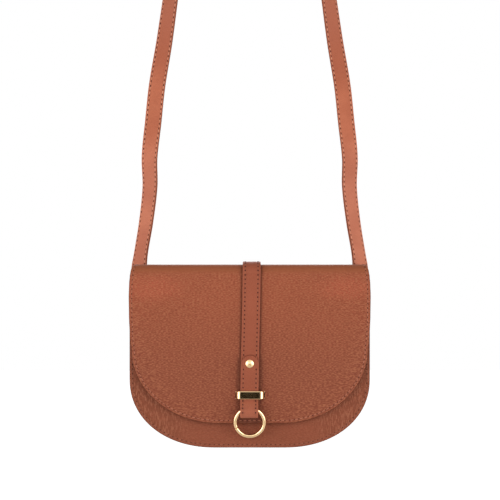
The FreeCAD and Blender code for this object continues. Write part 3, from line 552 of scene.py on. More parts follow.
def bandProfile(half, low, high, across):
    # Cross-section of a band, once round: face, edge, back, edge. Each point is (across, height, part).
    rounded = min(0.55, (high - low) / 2.2)
    flat = half - rounded
    held = flat - min(0.12, flat / 10)  # a row of points beside each edge keeps the face flat
    level = [-flat, *through(-held, held, across)]
    middle, rise = (low + high) / 2, (high - low) / 2
    right = [(flat + rounded * math.sin(a), middle + rise * math.cos(a), 0 if a < faceReach else 1)
             for a in between(0.0, math.pi, 6)]
    left = [(-x, low + high - z, part) for x, z, part in right]
    return [(x, high, 0) for x in level] + right + [(-x, low, 2) for x in level] + left


def band(name, stations, thickness, across, finishes, lift=0.0):
    # A flat strap. A station has its middle, sideways and outward directions, half width and, if thinned, a share.
    rings, places, parts = [], [], None
    travelled = 0.0
    for n, (middle, side, out, half, *share) in enumerate(stations):
        if n:
            travelled += (middle - stations[n - 1][0]).length
        reach = thickness / 2 * (share[0] if share else 1.0)
        profile = bandProfile(half, lift - reach, lift + reach, across)
        rings.append([middle + side * (a * mm) + out * (h * mm) for a, h, part in profile])
        places += [(a * mm, h * mm, travelled) for a, h, part in profile]
        parts = [part for a, h, part in profile]
    return closedShell(name, rings, finishes, lambda i, j: parts[j], places)


def roundedEnd(half, reach, count=10):  # how a band narrows, from its tip: (distance, half width)
    spots = []
    for turn in through(0.0, math.pi / 2, count):
        d = reach * (1 - math.cos(turn)) + 0.02
        spots.append((d, half - reach + math.sqrt(max(reach ** 2 - (reach - min(d, reach)) ** 2, 0.0))))
    return spots


def buildSewing():
    # Geometry Nodes: the same small shape at an even pitch along each line, lying along it and facing outwards.
    tree = bpy.data.node_groups.new("evenStitches", "GeometryNodeTree")
    tree.interface.new_socket("Geometry", in_out="OUTPUT", socket_type="NodeSocketGeometry")
    tree.interface.new_socket("Geometry", in_out="INPUT", socket_type="NodeSocketGeometry")
    for title in ("Pitch", "Length", "Width", "Height", "Slant", "Shift", "Lift"):
        tree.interface.new_socket(title, in_out="INPUT", socket_type="NodeSocketFloat")
    tree.interface.new_socket("Material", in_out="INPUT", socket_type="NodeSocketMaterial")
    given = addNode(tree, "NodeGroupInput", output="all")
    curve = addNode(tree, "GeometryNodeMeshToCurve", {"Mesh": given["Geometry"]})
    spaced = addNode(tree, "GeometryNodeResampleCurve", {"Curve": curve, "Length": given["Pitch"]}, mode="LENGTH")
    tangent = addNode(tree, "GeometryNodeInputTangent")
    outward = addNode(tree, "GeometryNodeInputNamedAttribute", {"Name": "outward"}, data_type="FLOAT_VECTOR")
    step = addNode(tree, "Math", [given["Pitch"], given["Shift"]], operation="MULTIPLY")
    along = addNode(tree, "VectorMath", {0: tangent, "Scale": step}, operation="SCALE")
    raised = addNode(tree, "VectorMath", {0: outward, "Scale": given["Lift"]}, operation="SCALE")
    offset = addNode(tree, "VectorMath", [along, raised], operation="ADD")
    moved = addNode(tree, "GeometryNodeSetPosition", {"Geometry": spaced, "Offset": offset})
    lying = addNode(tree, "FunctionNodeAlignRotationToVector", {"Vector": tangent}, axis="X")
    facing = addNode(tree, "FunctionNodeAlignRotationToVector", {"Rotation": lying, "Vector": outward},
                     axis="Z", pivot_axis="X")
    slant = addNode(tree, "CombineXYZ", {"Z": given["Slant"]})
    turned = addNode(tree, "FunctionNodeRotateRotation", {"Rotation": facing, "Rotate By": slant},
                     rotation_space="LOCAL")
    bead = addNode(tree, "GeometryNodeMeshUVSphere", {"Segments": 8, "Rings": 5, "Radius": 0.5})
    size = addNode(tree, "CombineXYZ", {"X": given["Length"], "Y": given["Width"], "Z": given["Height"]})
    beads = addNode(tree, "GeometryNodeInstanceOnPoints",
                    {"Points": moved, "Instance": bead, "Rotation": turned, "Scale": size})
    real = addNode(tree, "GeometryNodeRealizeInstances", {"Geometry": beads})
    soft = addNode(tree, "GeometryNodeSetShadeSmooth", {"Geometry": real})
    dressed = addNode(tree, "GeometryNodeSetMaterial", {"Geometry": soft, "Material": given["Material"]})
    addNode(tree, "NodeGroupOutput", {"Geometry": dressed})
    return tree


sewingTree = buildSewing()
sewingSockets = {item.name: item.identifier for item in sewingTree.interface.items_tree if item.in_out == "INPUT"}


def sew(name, carrier, rows, look):
    # Rows are lists of (point, outward direction). The thread and the needle holes become one mesh.
    points, edges, outs = [], [], []
    for row in rows:
        edges += [(i, i + 1) for i in range(len(points), len(points) + len(row) - 1)]
        points += [p for p, out in row]
        outs += [c for p, out in row for c in out]
    mesh = bpy.data.meshes.new(name + "Line")
    mesh.from_pydata(points, edges, [])
    mark(mesh, "outward", "FLOAT_VECTOR", outs)
    line = addObject(name + "Line", mesh)
    modifier = line.modifiers.new("sewing", "NODES")
    modifier.node_group = sewingTree
    shape = bmesh.new()
    for index, part in enumerate(("thread", "hole")):
        length, width, height = (size * mm for size in look[part])
        values = {"Pitch": look["pitch"] * mm, "Shift": 0.5 * index, "Slant": math.radians(look["slant"]),
                  "Length": length, "Width": width, "Height": height, "Lift": look["lift"] * mm,
                  "Material": look[part + "Finish"]}
        for title, value in values.items():
            modifier[sewingSockets[title]] = value
        line.update_tag()
        mesh.update_tag()
        bpy.context.view_layer.update()
        made, start = evaluated(line), len(shape.faces)
        shape.from_mesh(made)
        bpy.data.meshes.remove(made)
        shape.faces.ensure_lookup_table()
        for face in shape.faces[start:]:
            face.material_index = index
    bpy.data.objects.remove(line)
    joined = bpy.data.meshes.new(name)
    shape.to_mesh(joined)
    shape.free()
    for finish in (look["threadFinish"], look["holeFinish"]):
        joined.materials.append(finish)
    handIn(addObject(name, joined), carrier)


# Stitch sizes are length, width and height.
bodySeam = {"pitch": 4.7, "thread": (3.3, 0.8, 0.55), "hole": (1.35, 1.15, 0.5), "slant": 6.0, "lift": 0.03,
            "threadFinish": bodyThread, "holeFinish": punchedHole}
strapSeam = {**bodySeam, "pitch": 5.0, "thread": (3.2, 0.8, 0.5), "hole": (2.1, 1.2, 0.5),
             "threadFinish": strapThread}
centreSeam = {**bodySeam, "pitch": 4.3, "thread": (2.7, 0.75, 0.5), "hole": (1.8, 1.45, 0.5),
              "threadFinish": centreThread, "holeFinish": redHole}
panelSeam = {**bodySeam, "threadFinish": panelThread}
insideSeam = {**bodySeam, "pitch": 4.0, "thread": (2.8, 0.6, 0.4), "hole": (0.8, 0.7, 0.3)}


# Body: panels and gusset.
panelShape = {"sag": 0.6, "backSag": 1.0, "backSagTop": 138.0, "ripple": 0.12, "rippleWave": 26.0,
              "pleatAside": (50, 88), "pleatTop": (60, 85), "pleatBase": (2, 16)}
plateShares = [0.02, 0.12, 0.24, 0.36, 0.48, 0.6, 0.7, 0.79, 0.86, 0.92, 0.96, 0.985]
bodySpine = {"half": 60.0, "height": 86.0}


def swell(x, z, top, amount):  # a bag's panel bows out a little between its sewn edges
    across = max(0.0, 1 - (x / bag["halfWidth"]) ** 2)
    return amount * across * math.sin(math.pi * min(max(z / top, 0.0), 1.0))


def frontSurface(x, depth, z):
    uneven = panelShape["ripple"] * ripple(x, 0, z, panelShape["rippleWave"])
    return place(x, frontFace + depth - swell(x, z, bag["mouth"], panelShape["sag"]) - uneven, z)


def backSurface(x, depth, z):
    top = panelShape["backSagTop"]
    return leaned(x, backFace - depth + (swell(x, z, top, panelShape["backSag"]) if z < top else 0.0), z)


def bodyPanel(name, top, surface, hide):
    return plate(name, lambda inset: bodyOutline(inset, top - inset), bodySpine, bag["leather"], surface,
                 [hide, paintedEdge, liningLeather], plateShares)


frontPanel = bodyPanel("frontPanel", bag["mouth"], frontSurface, shadedPanelLeather)
pleats = []
for v in frontPanel.data.vertices:  # short upright creases where the panel is gathered round its lower corners
    x, z = abs(v.co.x - baseMiddle.x) / mm, heightOf(v.co)
    upright = (1 - ease(z, *panelShape["pleatTop"])) * ease(z, *panelShape["pleatBase"])
    pleats.append(ease(x, *panelShape["pleatAside"]) * upright)
mark(frontPanel.data, "pleated", "FLOAT", pleats)
handIn(frontPanel, "bag", "body_leather", "front_panel")
backPanel = bodyPanel("backPanel", bag["backTop"], backSurface, bodyLeather)
handIn(backPanel, "bag", "body_leather", "back_panel")

gussetShape = {"bend": 1.6, "sag": 2.4, "creaseEvery": 17.0, "crease": 0.5}


def sideWall(name, profile, sag, thickness, finishes):
    # A wall that follows the body's outline.
    # A point of the profile is (inset, reach from the front, reach from the back, share of the way back).
    outlines = {}

    def outlineAt(inset):
        key = round(inset, 3)
        if key not in outlines:
            outlines[key] = bodyOutline(inset, bag["mouth"], mouth=False)
        return outlines[key]

    spine = outlineAt(0.0)
    points = []
    length = 0.0
    for k, (x, z) in enumerate(spine):
        length += math.dist(spine[max(k - 1, 0)], (x, z))
        high = ease(z, 30, bag["mouth"])
        wave = math.sin(2 * math.pi * length / gussetShape["creaseEvery"])
        crease = gussetShape["crease"] * wave * (1 - high)
        for inset, frontReach, backReach, share in profile:
            soft = sag * (0.25 + 0.75 * high) + crease * ripple(x, share * 30, z, 20)
            sunkX, sunkZ = outlineAt(inset + max(math.sin(math.pi * share) * soft, -0.5))[k]
            near = place(sunkX, frontFace + bag["leather"] + frontReach, sunkZ)
            points.append(near.lerp(leaned(sunkX, backFace - bag["leather"] - backReach, sunkZ), share))
    width = len(profile)
    faces = [(n, n + 1, n + width + 1, n + width)
             for k in range(len(spine) - 1) for n in range(k * width, (k + 1) * width - 1)]
    wall = makeMesh(name, points, faces, finishes, [0] * len(faces))
    solid = wall.modifiers.new("leather", "SOLIDIFY")
    solid.thickness = thickness * mm
    solid.offset = 0.0
    solid.use_even_offset = True
    solid.material_offset_rim = 1
    return applied(wall)


def gussetProfile():  # flange, bend, web, bend and flange
    skin, bend = bag["gussetLeather"] / 2, gussetShape["bend"]
    web = bag["flange"] + skin
    turns = between(0.0, math.pi / 2, 5)
    flange = [0.05, 2.0, 4.0]
    rows = [(inset, skin, 0, 0.0) for inset in flange]
    rows += [(web - bend + bend * math.sin(a), skin + bend - bend * math.cos(a), 0, 0.0) for a in turns]
    rows += [(web, skin + bend, skin + bend, share) for share in through(0.0, 1.0, 16)]
    rows += [(web - bend + bend * math.cos(a), 0, skin + bend - bend * math.sin(a), 1.0) for a in turns[1:]]
    return rows + [(inset, 0, skin, 1.0) for inset in [web - bend, *reversed(flange)]]


gusset = sideWall("gusset", gussetProfile(), gussetShape["sag"], bag["gussetLeather"], [bodyLeather, paintedEdge])
handIn(gusset, "bag", "body_leather", "gusset")

seamInset = 3.0
underTail = 139.0  # above this the back is covered by the flap
mouthSeamHalf = 114.0
flangeFace = bag["leather"] + bag["gussetLeather"]


def rowAlong(spots, surface, out):  # one line of sewing over (x, z) spots of a surface
    return [(surface(x, z), out) for x, z in spots]


seamTop = bag["mouth"] - seamInset
frontSpots = bodyOutline(seamInset, seamTop, mouth=False)
backSpots = bodyOutline(seamInset, underTail, mouth=False)
mouthSpots = [(x, seamTop) for x in between(-mouthSeamHalf, mouthSeamHalf, 60)]
sew("bodySewing", "bag", [
    rowAlong(frontSpots, lambda x, z: frontSurface(x, 0.0, z), forward),
    rowAlong(mouthSpots, lambda x, z: frontSurface(x, 0.0, z), forward),
    rowAlong(backSpots, lambda x, z: backSurface(x, 0.0, z), backOut),
    rowAlong(frontSpots, lambda x, z: place(x, frontFace + flangeFace, z), -forward),
    rowAlong(frontSpots, lambda x, z: leaned(x, backFace - flangeFace, z), -backOut)], panelSeam)
print("body made")


# Flap: one hide from the rounded front end over the top and down the back.
flap = {
    "thickness": 2.95, "face": -37.95, "bottom": 23.6, "top": 182.2, "fold": 10.0, "endRun": 86.0, "endRise": 74.0,
    "tail": 140.0, "tailHalf": 118.0, "tailFrom": 230.0, "tailCorner": 5.0, "ripple": 0.22,
    "rippleWave": 34.0, "rippleHeld": 14.0, "press": 0.28, "pressReach": 3.6,
    "curl": 1.0, "curlReach": 11.0, "curlHeights": (92, 138), "curlAside": (18, 60),
    "sides": [(97.0, 118.5), (112.0, 120.2), (133.0, 120.9), (151.0, 121.1), (163.0, 120.7), (170.0, 120.1),
              (176.0, 119.3), (182.0, 118.0), (190.0, 117.6), (230.0, 117.8)],
}
frontFoldY = flap["face"] + flap["fold"]
foldZ = flap["top"] - flap["fold"]
backReach = leaned(0, backFace + flap["thickness"], 0)
backFoldY = depthOf(backReach) - (flap["fold"] + (foldZ - heightOf(backReach)) * backOut.z) / backOut.y
flatRun = foldZ - flap["bottom"]  # flat front, from the rounded end up to the fold
frontFoldEnd = flatRun + flap["fold"] * math.pi / 2
backFoldStart = frontFoldEnd + backFoldY - frontFoldY
halfBridge = (frontFoldEnd + backFoldStart) / 2  # where the two meshes of the flap meet, over the mouth
backFoldEnd = backFoldStart + (math.pi / 2 - backLean) * flap["fold"]
tailTop = place(0, backFoldY, foldZ) + backOut * (flap["fold"] * mm)
tailTopRise = (tailTop - backReach).length / mm
flapLength = backFoldEnd + tailTopRise - flap["tail"]
# Where each fold bends, between which bodies.
frontFold = "flap_bridge", "flap", place(0, frontFoldY, flap["top"]), place(0, flap["face"], foldZ)
backFold = "bag", "flap_bridge", tailTop, place(0, backFoldY, flap["top"])


def flapFrame(v, offset=0.0):
    # Middle of the flap's outer face v millimetres from its lower end, moved out by offset, and the way it faces.
    reach = (flap["fold"] + offset) * mm
    if v <= flatRun:
        return place(0, flap["face"] - offset, flap["bottom"] + v), forward
    if frontFoldEnd < v <= backFoldStart:
        return place(0, frontFoldY + v - frontFoldEnd, flap["top"] + offset), upward
    if v > backFoldEnd:
        return place(0, backFoldY, foldZ) + backOut * reach + backDown * ((v - backFoldEnd) * mm), backOut
    onFront = v <= frontFoldEnd
    turned = (v - (flatRun if onFront else backFoldStart)) / flap["fold"]
    angle = math.pi - turned if onFront else math.pi / 2 - turned
    out = Vector((0, math.cos(angle), math.sin(angle)))
    return place(0, frontFoldY if onFront else backFoldY, foldZ) + out * reach, out


def flapHalf(v):  # half width of the flap at v, above its rounded end
    z = flap["bottom"] + v
    rows = flap["sides"]
    for (z0, w0), (z1, w1) in zip(rows, rows[1:]):
        if z <= z1:
            return w0 + (w1 - w0) * ease(z, z0, z1) if z > z0 else w0
    return rows[-1][1]


flapWaist = flapHalf(flap["endRise"])


def flapOutline(inset):  # flat outline of the front mesh in (x, v), cut straight across in the middle of the mouth
    run, rise = flap["endRun"] - inset, flap["endRise"] - inset
    foot = flapWaist - inset - run
    heights = between(flap["endRise"], flatRun - 1, 26) + between(flatRun - 1, frontFoldEnd + 1, 16)
    heights += between(frontFoldEnd + 1, halfBridge, 6)
    right = [(foot + x, inset + v) for x, v in quarter(run, rise, 30)]
    right += [(flapHalf(v) - inset, v) for v in heights]
    corner = flapHalf(halfBridge) - inset
    cut = halfBridge - inset * 0.02  # the rings stay a hair apart
    return (mirroredRow(right) + [(x, inset) for x in between(-foot, foot, 16)] + right
            + [(x, cut) for x in through(corner, -corner, 40)])


def flapEdge(x, v):  # how far a point is from the flap's free edge
    edge = flapHalf(v) - abs(x)
    if v < flap["endRise"]:
        across = max(abs(x) - (flapWaist - flap["endRun"]), 0.0) / flap["endRun"]
        edge = (1 - math.hypot(across, (flap["endRise"] - v) / flap["endRise"])) * flap["endRise"]
    return max(edge, 0.0)


def flapSurface(x, depth, v):
    edge = flapEdge(x, v)
    # The free edges turn in a little towards the body, away from the strap and the fold.
    free = (1 - ease(v, *flap["curlHeights"])) * ease(abs(x), *flap["curlAside"])
    offset = -depth - flap["curl"] * math.exp(-(edge / flap["curlReach"]) ** 2) * free
    if v < flatRun:
        held = ease(flapHalf(max(v, flap["endRise"])) - abs(x), 0, flap["rippleHeld"])
        offset += flap["ripple"] * ripple(x, 7, v, flap["rippleWave"]) * held
    if depth < flap["thickness"] / 2:  # the sewn edge is pressed thinner than the middle
        offset -= flap["press"] * math.exp(-(edge / flap["pressReach"]) ** 2)
    middle, out = flapFrame(v)
    return middle + out * (offset * mm) + sideways * (x * mm)


def markStretch(piece):  # the hide is pulled smooth over the fold, from just below it up to the level part
    amounts = [ease(heightOf(v.co), foldZ - 1, foldZ + 5) for v in piece.data.vertices]
    mark(piece.data, "stretched", "FLOAT", amounts)


flapFinishes = [flapLeather, paintedEdge, liningLeather]
flapShares = [0.02, 0.12, 0.24, 0.36, 0.48, 0.58, *(0.62 + 0.0125 * i for i in range(22)), 0.915, 0.95, 0.98]
flapFront = plate("flapFront", flapOutline, {"half": 55.0, "height": 88.0}, flap["thickness"], flapSurface,
                  flapFinishes, flapShares)
markStretch(flapFront)
handIn(flapFront, frontFold, "body_leather", "flap_leather", "flap_lining", "flap_bridge_leather",
       "flap_bridge_lining")

tailRun = [(v, flapHalf(v) if v < flap["tailFrom"] else flap["tailHalf"])
           for v in between(halfBridge, flapLength - flap["tailCorner"] - 1, 46)]
tailEnd = [(flapLength - d, w) for d, w in reversed(roundedEnd(flap["tailHalf"], flap["tailCorner"], 8))]
tailStations = [(flapFrame(v)[0], sideways, flapFrame(v)[1], w) for v, w in tailRun + tailEnd]
tailStations.append((flapFrame(flapLength)[0], sideways, backOut, tailEnd[-1][1], 0.6))
flapBack = band("flapBack", tailStations, flap["thickness"], 48, flapFinishes, lift=-flap["thickness"] / 2)
markStretch(flapBack)
handIn(flapBack, backFold, "body_leather", "flap_tail")


def flapRow(spots, depth):  # sewing over the (x, v) spots of the flap, on its face or its back
    facing = -1 if depth else 1
    return [(flapFrame(v, -depth)[0] + sideways * (x * mm), flapFrame(v)[1] * facing) for x, v in spots]


frontRing = [(x, v) for x, v in flapOutline(seamInset) if v < halfBridge - 0.1]  # without the cut
sew("flapFrontSewing", frontFold, [
    [(flapSurface(x, depth, v), flapFrame(v)[1] * facing) for x, v in frontRing]
    for depth, facing in ((0.0, 1), (flap["thickness"], -1))], bodySeam)
tailSewn = {"widthKeptFrom": 228.0, "rowHalf": 113.5, "secondRow": 5.0}
tailRows = []
for depth in (0.0, flap["thickness"]):
    for side in (-1, 1):
        run = [(side * (flapHalf(min(v, tailSewn["widthKeptFrom"])) - seamInset), v)
               for v in between(halfBridge, flapLength - seamInset, 70)]
        tailRows.append(flapRow([(x, v) for x, v in run if not depth or v < backFoldEnd], depth))
for up in (seamInset, seamInset + tailSewn["secondRow"]):
    tailRows.append(flapRow([(x, flapLength - up)
                             for x in between(-tailSewn["rowHalf"], tailSewn["rowHalf"], 60)], 0.0))
sew("flapBackSewing", backFold, tailRows, bodySeam)
print("flap made")


# Centre strap, turned up through the ring's loop.
centre = {
    "half": 9.0, "leather": 2.15, "bond": 0.05, "loopRadius": 3.8, "loopBottom": 29.4, "turnUp": 91.5, "tail": 130.0,
    "topShift": 2.0, "lowShift": -0.6, "askew": (20.0, 190.0), "keeperBottom": 48.0,
    "rise": 0.9, "riseOver": (-6, 8), "fallOver": (-8, 6), "drop": 2.6, "dropOver": (0.5, 10.0),
    "seamInset": 2.6, "sewnFrom": 80.0, "tabSewnTo": 76.0, "tip": 0.6,
}


def centreShift(z):  # the strap stands very slightly askew
    return centre["lowShift"] + (centre["topShift"] - centre["lowShift"]) * ease(z, *centre["askew"])


strapMid = centre["bond"] + centre["leather"] / 2
strapHigh = centre["bond"] + centre["leather"]
loopMid = centre["loopRadius"] + centre["leather"] / 2
loopY = flap["face"] - strapHigh - centre["loopRadius"]
loopZ = centre["loopBottom"] + centre["loopRadius"] + centre["leather"]
upMid = flap["face"] - strapHigh - strapMid
backward = -forward


def foldRise(v):  # stiff doubled leather stands a little clear of the flap on the way over the mouth
    return centre["rise"] * ease(v - flatRun, *centre["riseOver"]) * (1 - ease(v - backFoldEnd, *centre["fallOver"]))


def tailDrop(v):  # past the flap's tail the strap comes down onto the back panel
    return centre["drop"] * ease(v - flapLength, *centre["dropOver"])


def frontPath():  # the middle of the leather with the direction out of its first face, down to the tab's rounded tip
    path = [flapFrame(v, strapMid + foldRise(v))
            for v in between(halfBridge, frontFoldEnd, 4) + between(frontFoldEnd, flatRun, 14)]
    path += [(place(0, flap["face"] - strapMid, z), forward) for z in between(foldZ, loopZ, 60)]
    pinchZ = centre["keeperBottom"] - centre["leather"]
    pinch = place(0, upMid, pinchZ)
    across, rise = upMid - loopY, pinchZ - loopZ
    slant = math.atan2(across, rise) + math.asin(loopMid / math.hypot(across, rise))
    for turn in through(0.0, math.pi * 1.5 - slant, 18):  # from beside the flap, under the loop and up its front
        radial = Vector((0, math.cos(turn), -math.sin(turn)))
        path.append((place(0, loopY, loopZ) + radial * (loopMid * mm), -radial))
    leaving, upOut = path[-1][0], Vector((0, math.cos(slant), -math.sin(slant)))
    path += [(leaving.lerp(pinch, t), upOut.lerp(backward, ease(t, 0.5, 1.2)).normalized())
             for t in between(0.0, 1.0, 6)[1:]]
    return path + [(place(0, upMid, z), backward) for z in between(pinchZ, centre["turnUp"] - centre["half"] - 1, 24)]


def centreBand(name, path, tip, carrier, *replaced):  # the tip is (middle, outward direction, half width) to its end
    stations = [(middle, sideways, out, centre["half"]) for middle, out in path]
    stations += [(middle, sideways, out, max(half, centre["tip"])) for middle, out, half in tip]
    piece = band(name, stations, centre["leather"], 12, [centreLeather, centreEdge, centreLeather])
    handIn(piece, carrier, "centre_strap_leather", *replaced)
    return stations


def centreRow(stations, side, face):  # sewing beside one edge, on the first face or, with -1, on the other
    across = side * (centre["half"] - centre["seamInset"]) * mm
    return [(middle + sideways * across + out * (face * centre["leather"] / 2 * mm), out * face)
            for middle, along, out, half in stations]


def shiftedBy(middle):
    return middle + sideways * (centreShift(heightOf(middle)) * mm)


tipWidths = list(reversed(roundedEnd(centre["half"], centre["half"])))
tip = [(shiftedBy(place(0, upMid, centre["turnUp"] - d)), backward, half) for d, half in tipWidths]
frontStations = centreBand("centreStrapFront", [(shiftedBy(middle), out) for middle, out in frontPath()], tip,
                           frontFold, "centre_strap", "centre_strap_bridge")
down, up = [], []  # the first face is sewn above the tab, and the tab's own face between the loop and its tip
for station in frontStations:
    out, z = station[2], heightOf(station[0])
    if out.y < 0.5 and z > centre["sewnFrom"]:
        down.append(station)
    if out.y > 0.3 and z < centre["tabSewnTo"]:
        up.append(station)
sew("centreStrapFrontSewing", frontFold,
    [centreRow(part, side, face) for side in (-1, 1) for part, face in ((down, 1), (up, -1))], centreSeam)

centreTailV = backFoldEnd + tailTopRise - centre["tail"]


def backPath(v, rise):
    middle, out = flapFrame(v, strapMid + rise - tailDrop(v))
    return middle + sideways * (centre["topShift"] * mm), out


path = [backPath(v, foldRise(v)) for v in between(halfBridge, centreTailV - centre["half"] - 0.5, 40)]
backTip = [(*backPath(centreTailV - d, 0.0), half) for d, half in tipWidths]
backStations = centreBand("centreStrapBack", path, backTip, backFold, "centre_strap_tail")
fullStations = [station for station in backStations if station[3] > centre["half"] - 0.3]
sew("centreStrapBackSewing", backFold, [centreRow(fullStations, side, 1) for side in (-1, 1)], centreSeam)
print("centre strap made")


# Shoulder strap: one length of doubled leather from end to end.
# Its route is (share of the way up, across, depth, turn in degrees) for the right leg.
shoulder = {
    "half": 8.5, "ply": 1.25, "bond": 0.05, "endX": 110.0, "endBottom": 126.0, "endTop": 166.0, "seat": 0.3,
    "pressed": 2.7, "crownRadius": 48.0, "slope": 0.15, "depth": 20.0, "loopHeight": 557.145, "seamInset": 1.9,
    "boxRows": (5.0, 9.0, 35.0), "tip": 0.6, "bendBelow": 5.0, "bendAbove": 12.0,
    "route": [(0.0144, 113.2, 19.6, 10.0), (0.0431, 112.2, 21.6, 34.0), (0.1077, 106.4, 22.0, 33.0),
              (0.1723, 102.3, 19.0, 27.0), (0.2262, 102.8, 20.5, 17.0), (0.2908, 99.0, 18.5, 0.0),
              (0.3590, 95.0, 20.0, -2.0), (0.4380, 87.7, 20.5, 12.0), (0.5187, 81.3, 20.0, 24.0),
              (0.6533, 70.5, 20.0, 46.0), (0.7969, 58.5, 20.0, 70.0)],
}
strapThick = 2 * shoulder["ply"] + shoulder["bond"]
seatY = backFace + flap["thickness"] + shoulder["seat"] + strapThick / 2
slopeAngle = math.atan(shoulder["slope"])
crownZ = shoulder["endTop"] + shoulder["loopHeight"] - shoulder["crownRadius"] + strapThick / 2
hingeFoot = leaned(0, seatY, shoulder["endTop"])
strapFold = ("bag", "strap", hingeFoot - upward * (shoulder["bendBelow"] * mm),
             hingeFoot + upward * (shoulder["bendAbove"] * mm))


def legRows():  # (z, x, y, turn) up the right leg, as a smooth curve through its set places
    rows = [(heightOf(hingeFoot), shoulder["endX"], depthOf(hingeFoot), 0.0)]
    rows += [(shoulder["endTop"] + share * shoulder["loopHeight"], *spot) for share, *spot in shoulder["route"]]
    rows.append((crownZ + shoulder["crownRadius"] * math.sin(slopeAngle),
                 shoulder["crownRadius"] * math.cos(slopeAngle), shoulder["depth"], 90.0))
    slopes = []
    for low, high in zip([rows[0], *rows], [*rows[1:], rows[-1]]):
        slopes.append([(b - a) / (high[0] - low[0]) for a, b in zip(low[1:], high[1:])])
    slopes[0] = [0.0, -math.tan(backLean), 0.0]
    slopes[-1] = [-shoulder["slope"], 0.0, slopes[-1][2]]
    fine = []
    for low, high, lowSlope, highSlope in zip(rows, rows[1:], slopes, slopes[1:]):
        span = high[0] - low[0]
        for t in between(0.0, 1.0, max(3, round(span / 4))):
            rest = [(2 * t ** 3 - 3 * t ** 2 + 1) * a + (t ** 3 - 2 * t ** 2 + t) * aSlope * span
                    + (3 * t ** 2 - 2 * t ** 3) * b + (t ** 3 - t ** 2) * bSlope * span
                    for a, b, aSlope, bSlope in zip(low[1:], high[1:], lowSlope, highSlope)]
            fine.append([low[0] + span * t, *rest])
    return fine


def seatAt(z):  # below the flap's tail each end is pressed down onto the back panel
    return seatY - shoulder["pressed"] * (1 - ease(z, shoulder["endBottom"] + 0.5, flap["tail"] - 1.5))


def legStation(row, low, high):  # facing as the row's turn says, along a leg that leans from low to high
    z, x, y, turn = row
    lean, angle = math.atan2(high[1] - low[1], high[0] - low[0]), math.radians(turn)
    level = Vector((math.cos(lean), 0, -math.sin(lean)))
    side = level * math.cos(angle) + backward * math.sin(angle)
    out = forward * math.cos(angle) + level * math.sin(angle)
    return place(x, y, z), side.normalized(), out.normalized(), shoulder["half"]


lowEnd = [(shoulder["endBottom"] + d, half) for d, half in roundedEnd(shoulder["half"], shoulder["half"])]
lowEnd += [(z, shoulder["half"]) for z in between(lowEnd[-1][0] + 1, shoulder["endTop"], 14)]
leg = [(leaned(shoulder["endX"], seatAt(z), z), sideways, -backOut, max(half, shoulder["tip"]))
       for z, half in lowEnd]
rows = legRows()
leg += [legStation(*three) for three in zip(rows, [rows[0], *rows], [*rows[1:], rows[-1]])]
crown = []
for angle in through(slopeAngle, math.pi - slopeAngle, 32):
    out = Vector((math.cos(angle), 0, math.sin(angle)))
    crown.append((place(0, shoulder["depth"], crownZ) + out * (shoulder["crownRadius"] * mm), backward, out,
                  shoulder["half"]))
mirror = Matrix.Diagonal((-1, 1, 1))
strapLine = leg + crown + [(*(mirror @ vector for vector in station[:3]), station[3]) for station in reversed(leg)]
shoulderStrap = band("shoulderStrap", strapLine, strapThick, 10, [strapLeather, strapEdge, strapBackLeather])
handIn(shoulderStrap, strapFold, "shoulder_strap_leather",
       *("strap_" + part for part in ("face_left", "face_right", "face_crown", "backing_left", "backing_right",
        "backing_crown", "end_left", "end_right")))
strapSeamX = shoulder["half"] - shoulder["seamInset"]
strapRows = [[(m + s * (side * strapSeamX * mm) + o * (face * strapThick / 2 * mm), o * face)
              for m, s, o, half in strapLine if half > shoulder["half"] - 0.6]  # without the rounded tips
             for face in (-1, 1) for side in (-1, 1)]
for side in (-1, 1):  # the box of stitches that holds each end on the back
    for z in (shoulder["endBottom"] + up for up in shoulder["boxRows"]):
        strapRows.append([(leaned(side * shoulder["endX"] + x, seatAt(z) + strapThick / 2, z), backOut)
                          for x in between(-strapSeamX, strapSeamX + 1, 6)])
sew("shoulderStrapSewing", strapFold, strapRows, strapSeam)
print("shoulder strap made")


# Inside: cloth lining, leather facings and the zip's tapes.
inside = {
    "cloth": 0.5, "facing": 0.9, "facingHeight": 22.0, "bond": 0.05, "zipZ": 118.0, "zipLength": 150.0,
    "window": 9.0, "tapeWidth": 11.0, "tapeRise": 1.6, "tapeOverrun": 12.0, "teethY": 26.6, "toothThickness": 1.8,
    "slack": 1.1, "seamInset": 2.5, "windowSeam": (2.5, 2.0),
}
cloth, bond, facing = inside["cloth"], inside["bond"], inside["facing"]
liningInset = bag["flange"] + bag["gussetLeather"] + 2 * bond + cloth
frontLiningY = frontFace + flangeFace + 2 * bond
backLiningY = inside["teethY"] - inside["toothThickness"] / 2 + 2 * bond


def slackAt(x, z, seed):  # loose cloth stands off the board away from its sewn edges
    held = ease(bag["halfWidth"] - liningInset - abs(x), 0, 30) * ease(z, 10, 40) * (1 - ease(z, 85, 105))
    return inside["slack"] * held * (0.5 + 0.5 * ripple(x * 0.6, seed, z, 30) + 0.15 * ripple(x, seed, z, 9))


def lining(name, surface):
    shares = [0.02, *(0.1 + 0.08 * i for i in range(11)), 0.96]
    return plate(name, lambda inset: bodyOutline(liningInset + inset * 0.3, bag["mouth"] - inset * 0.3), bodySpine,
                 cloth, surface, [liningCloth] * 3, shares)


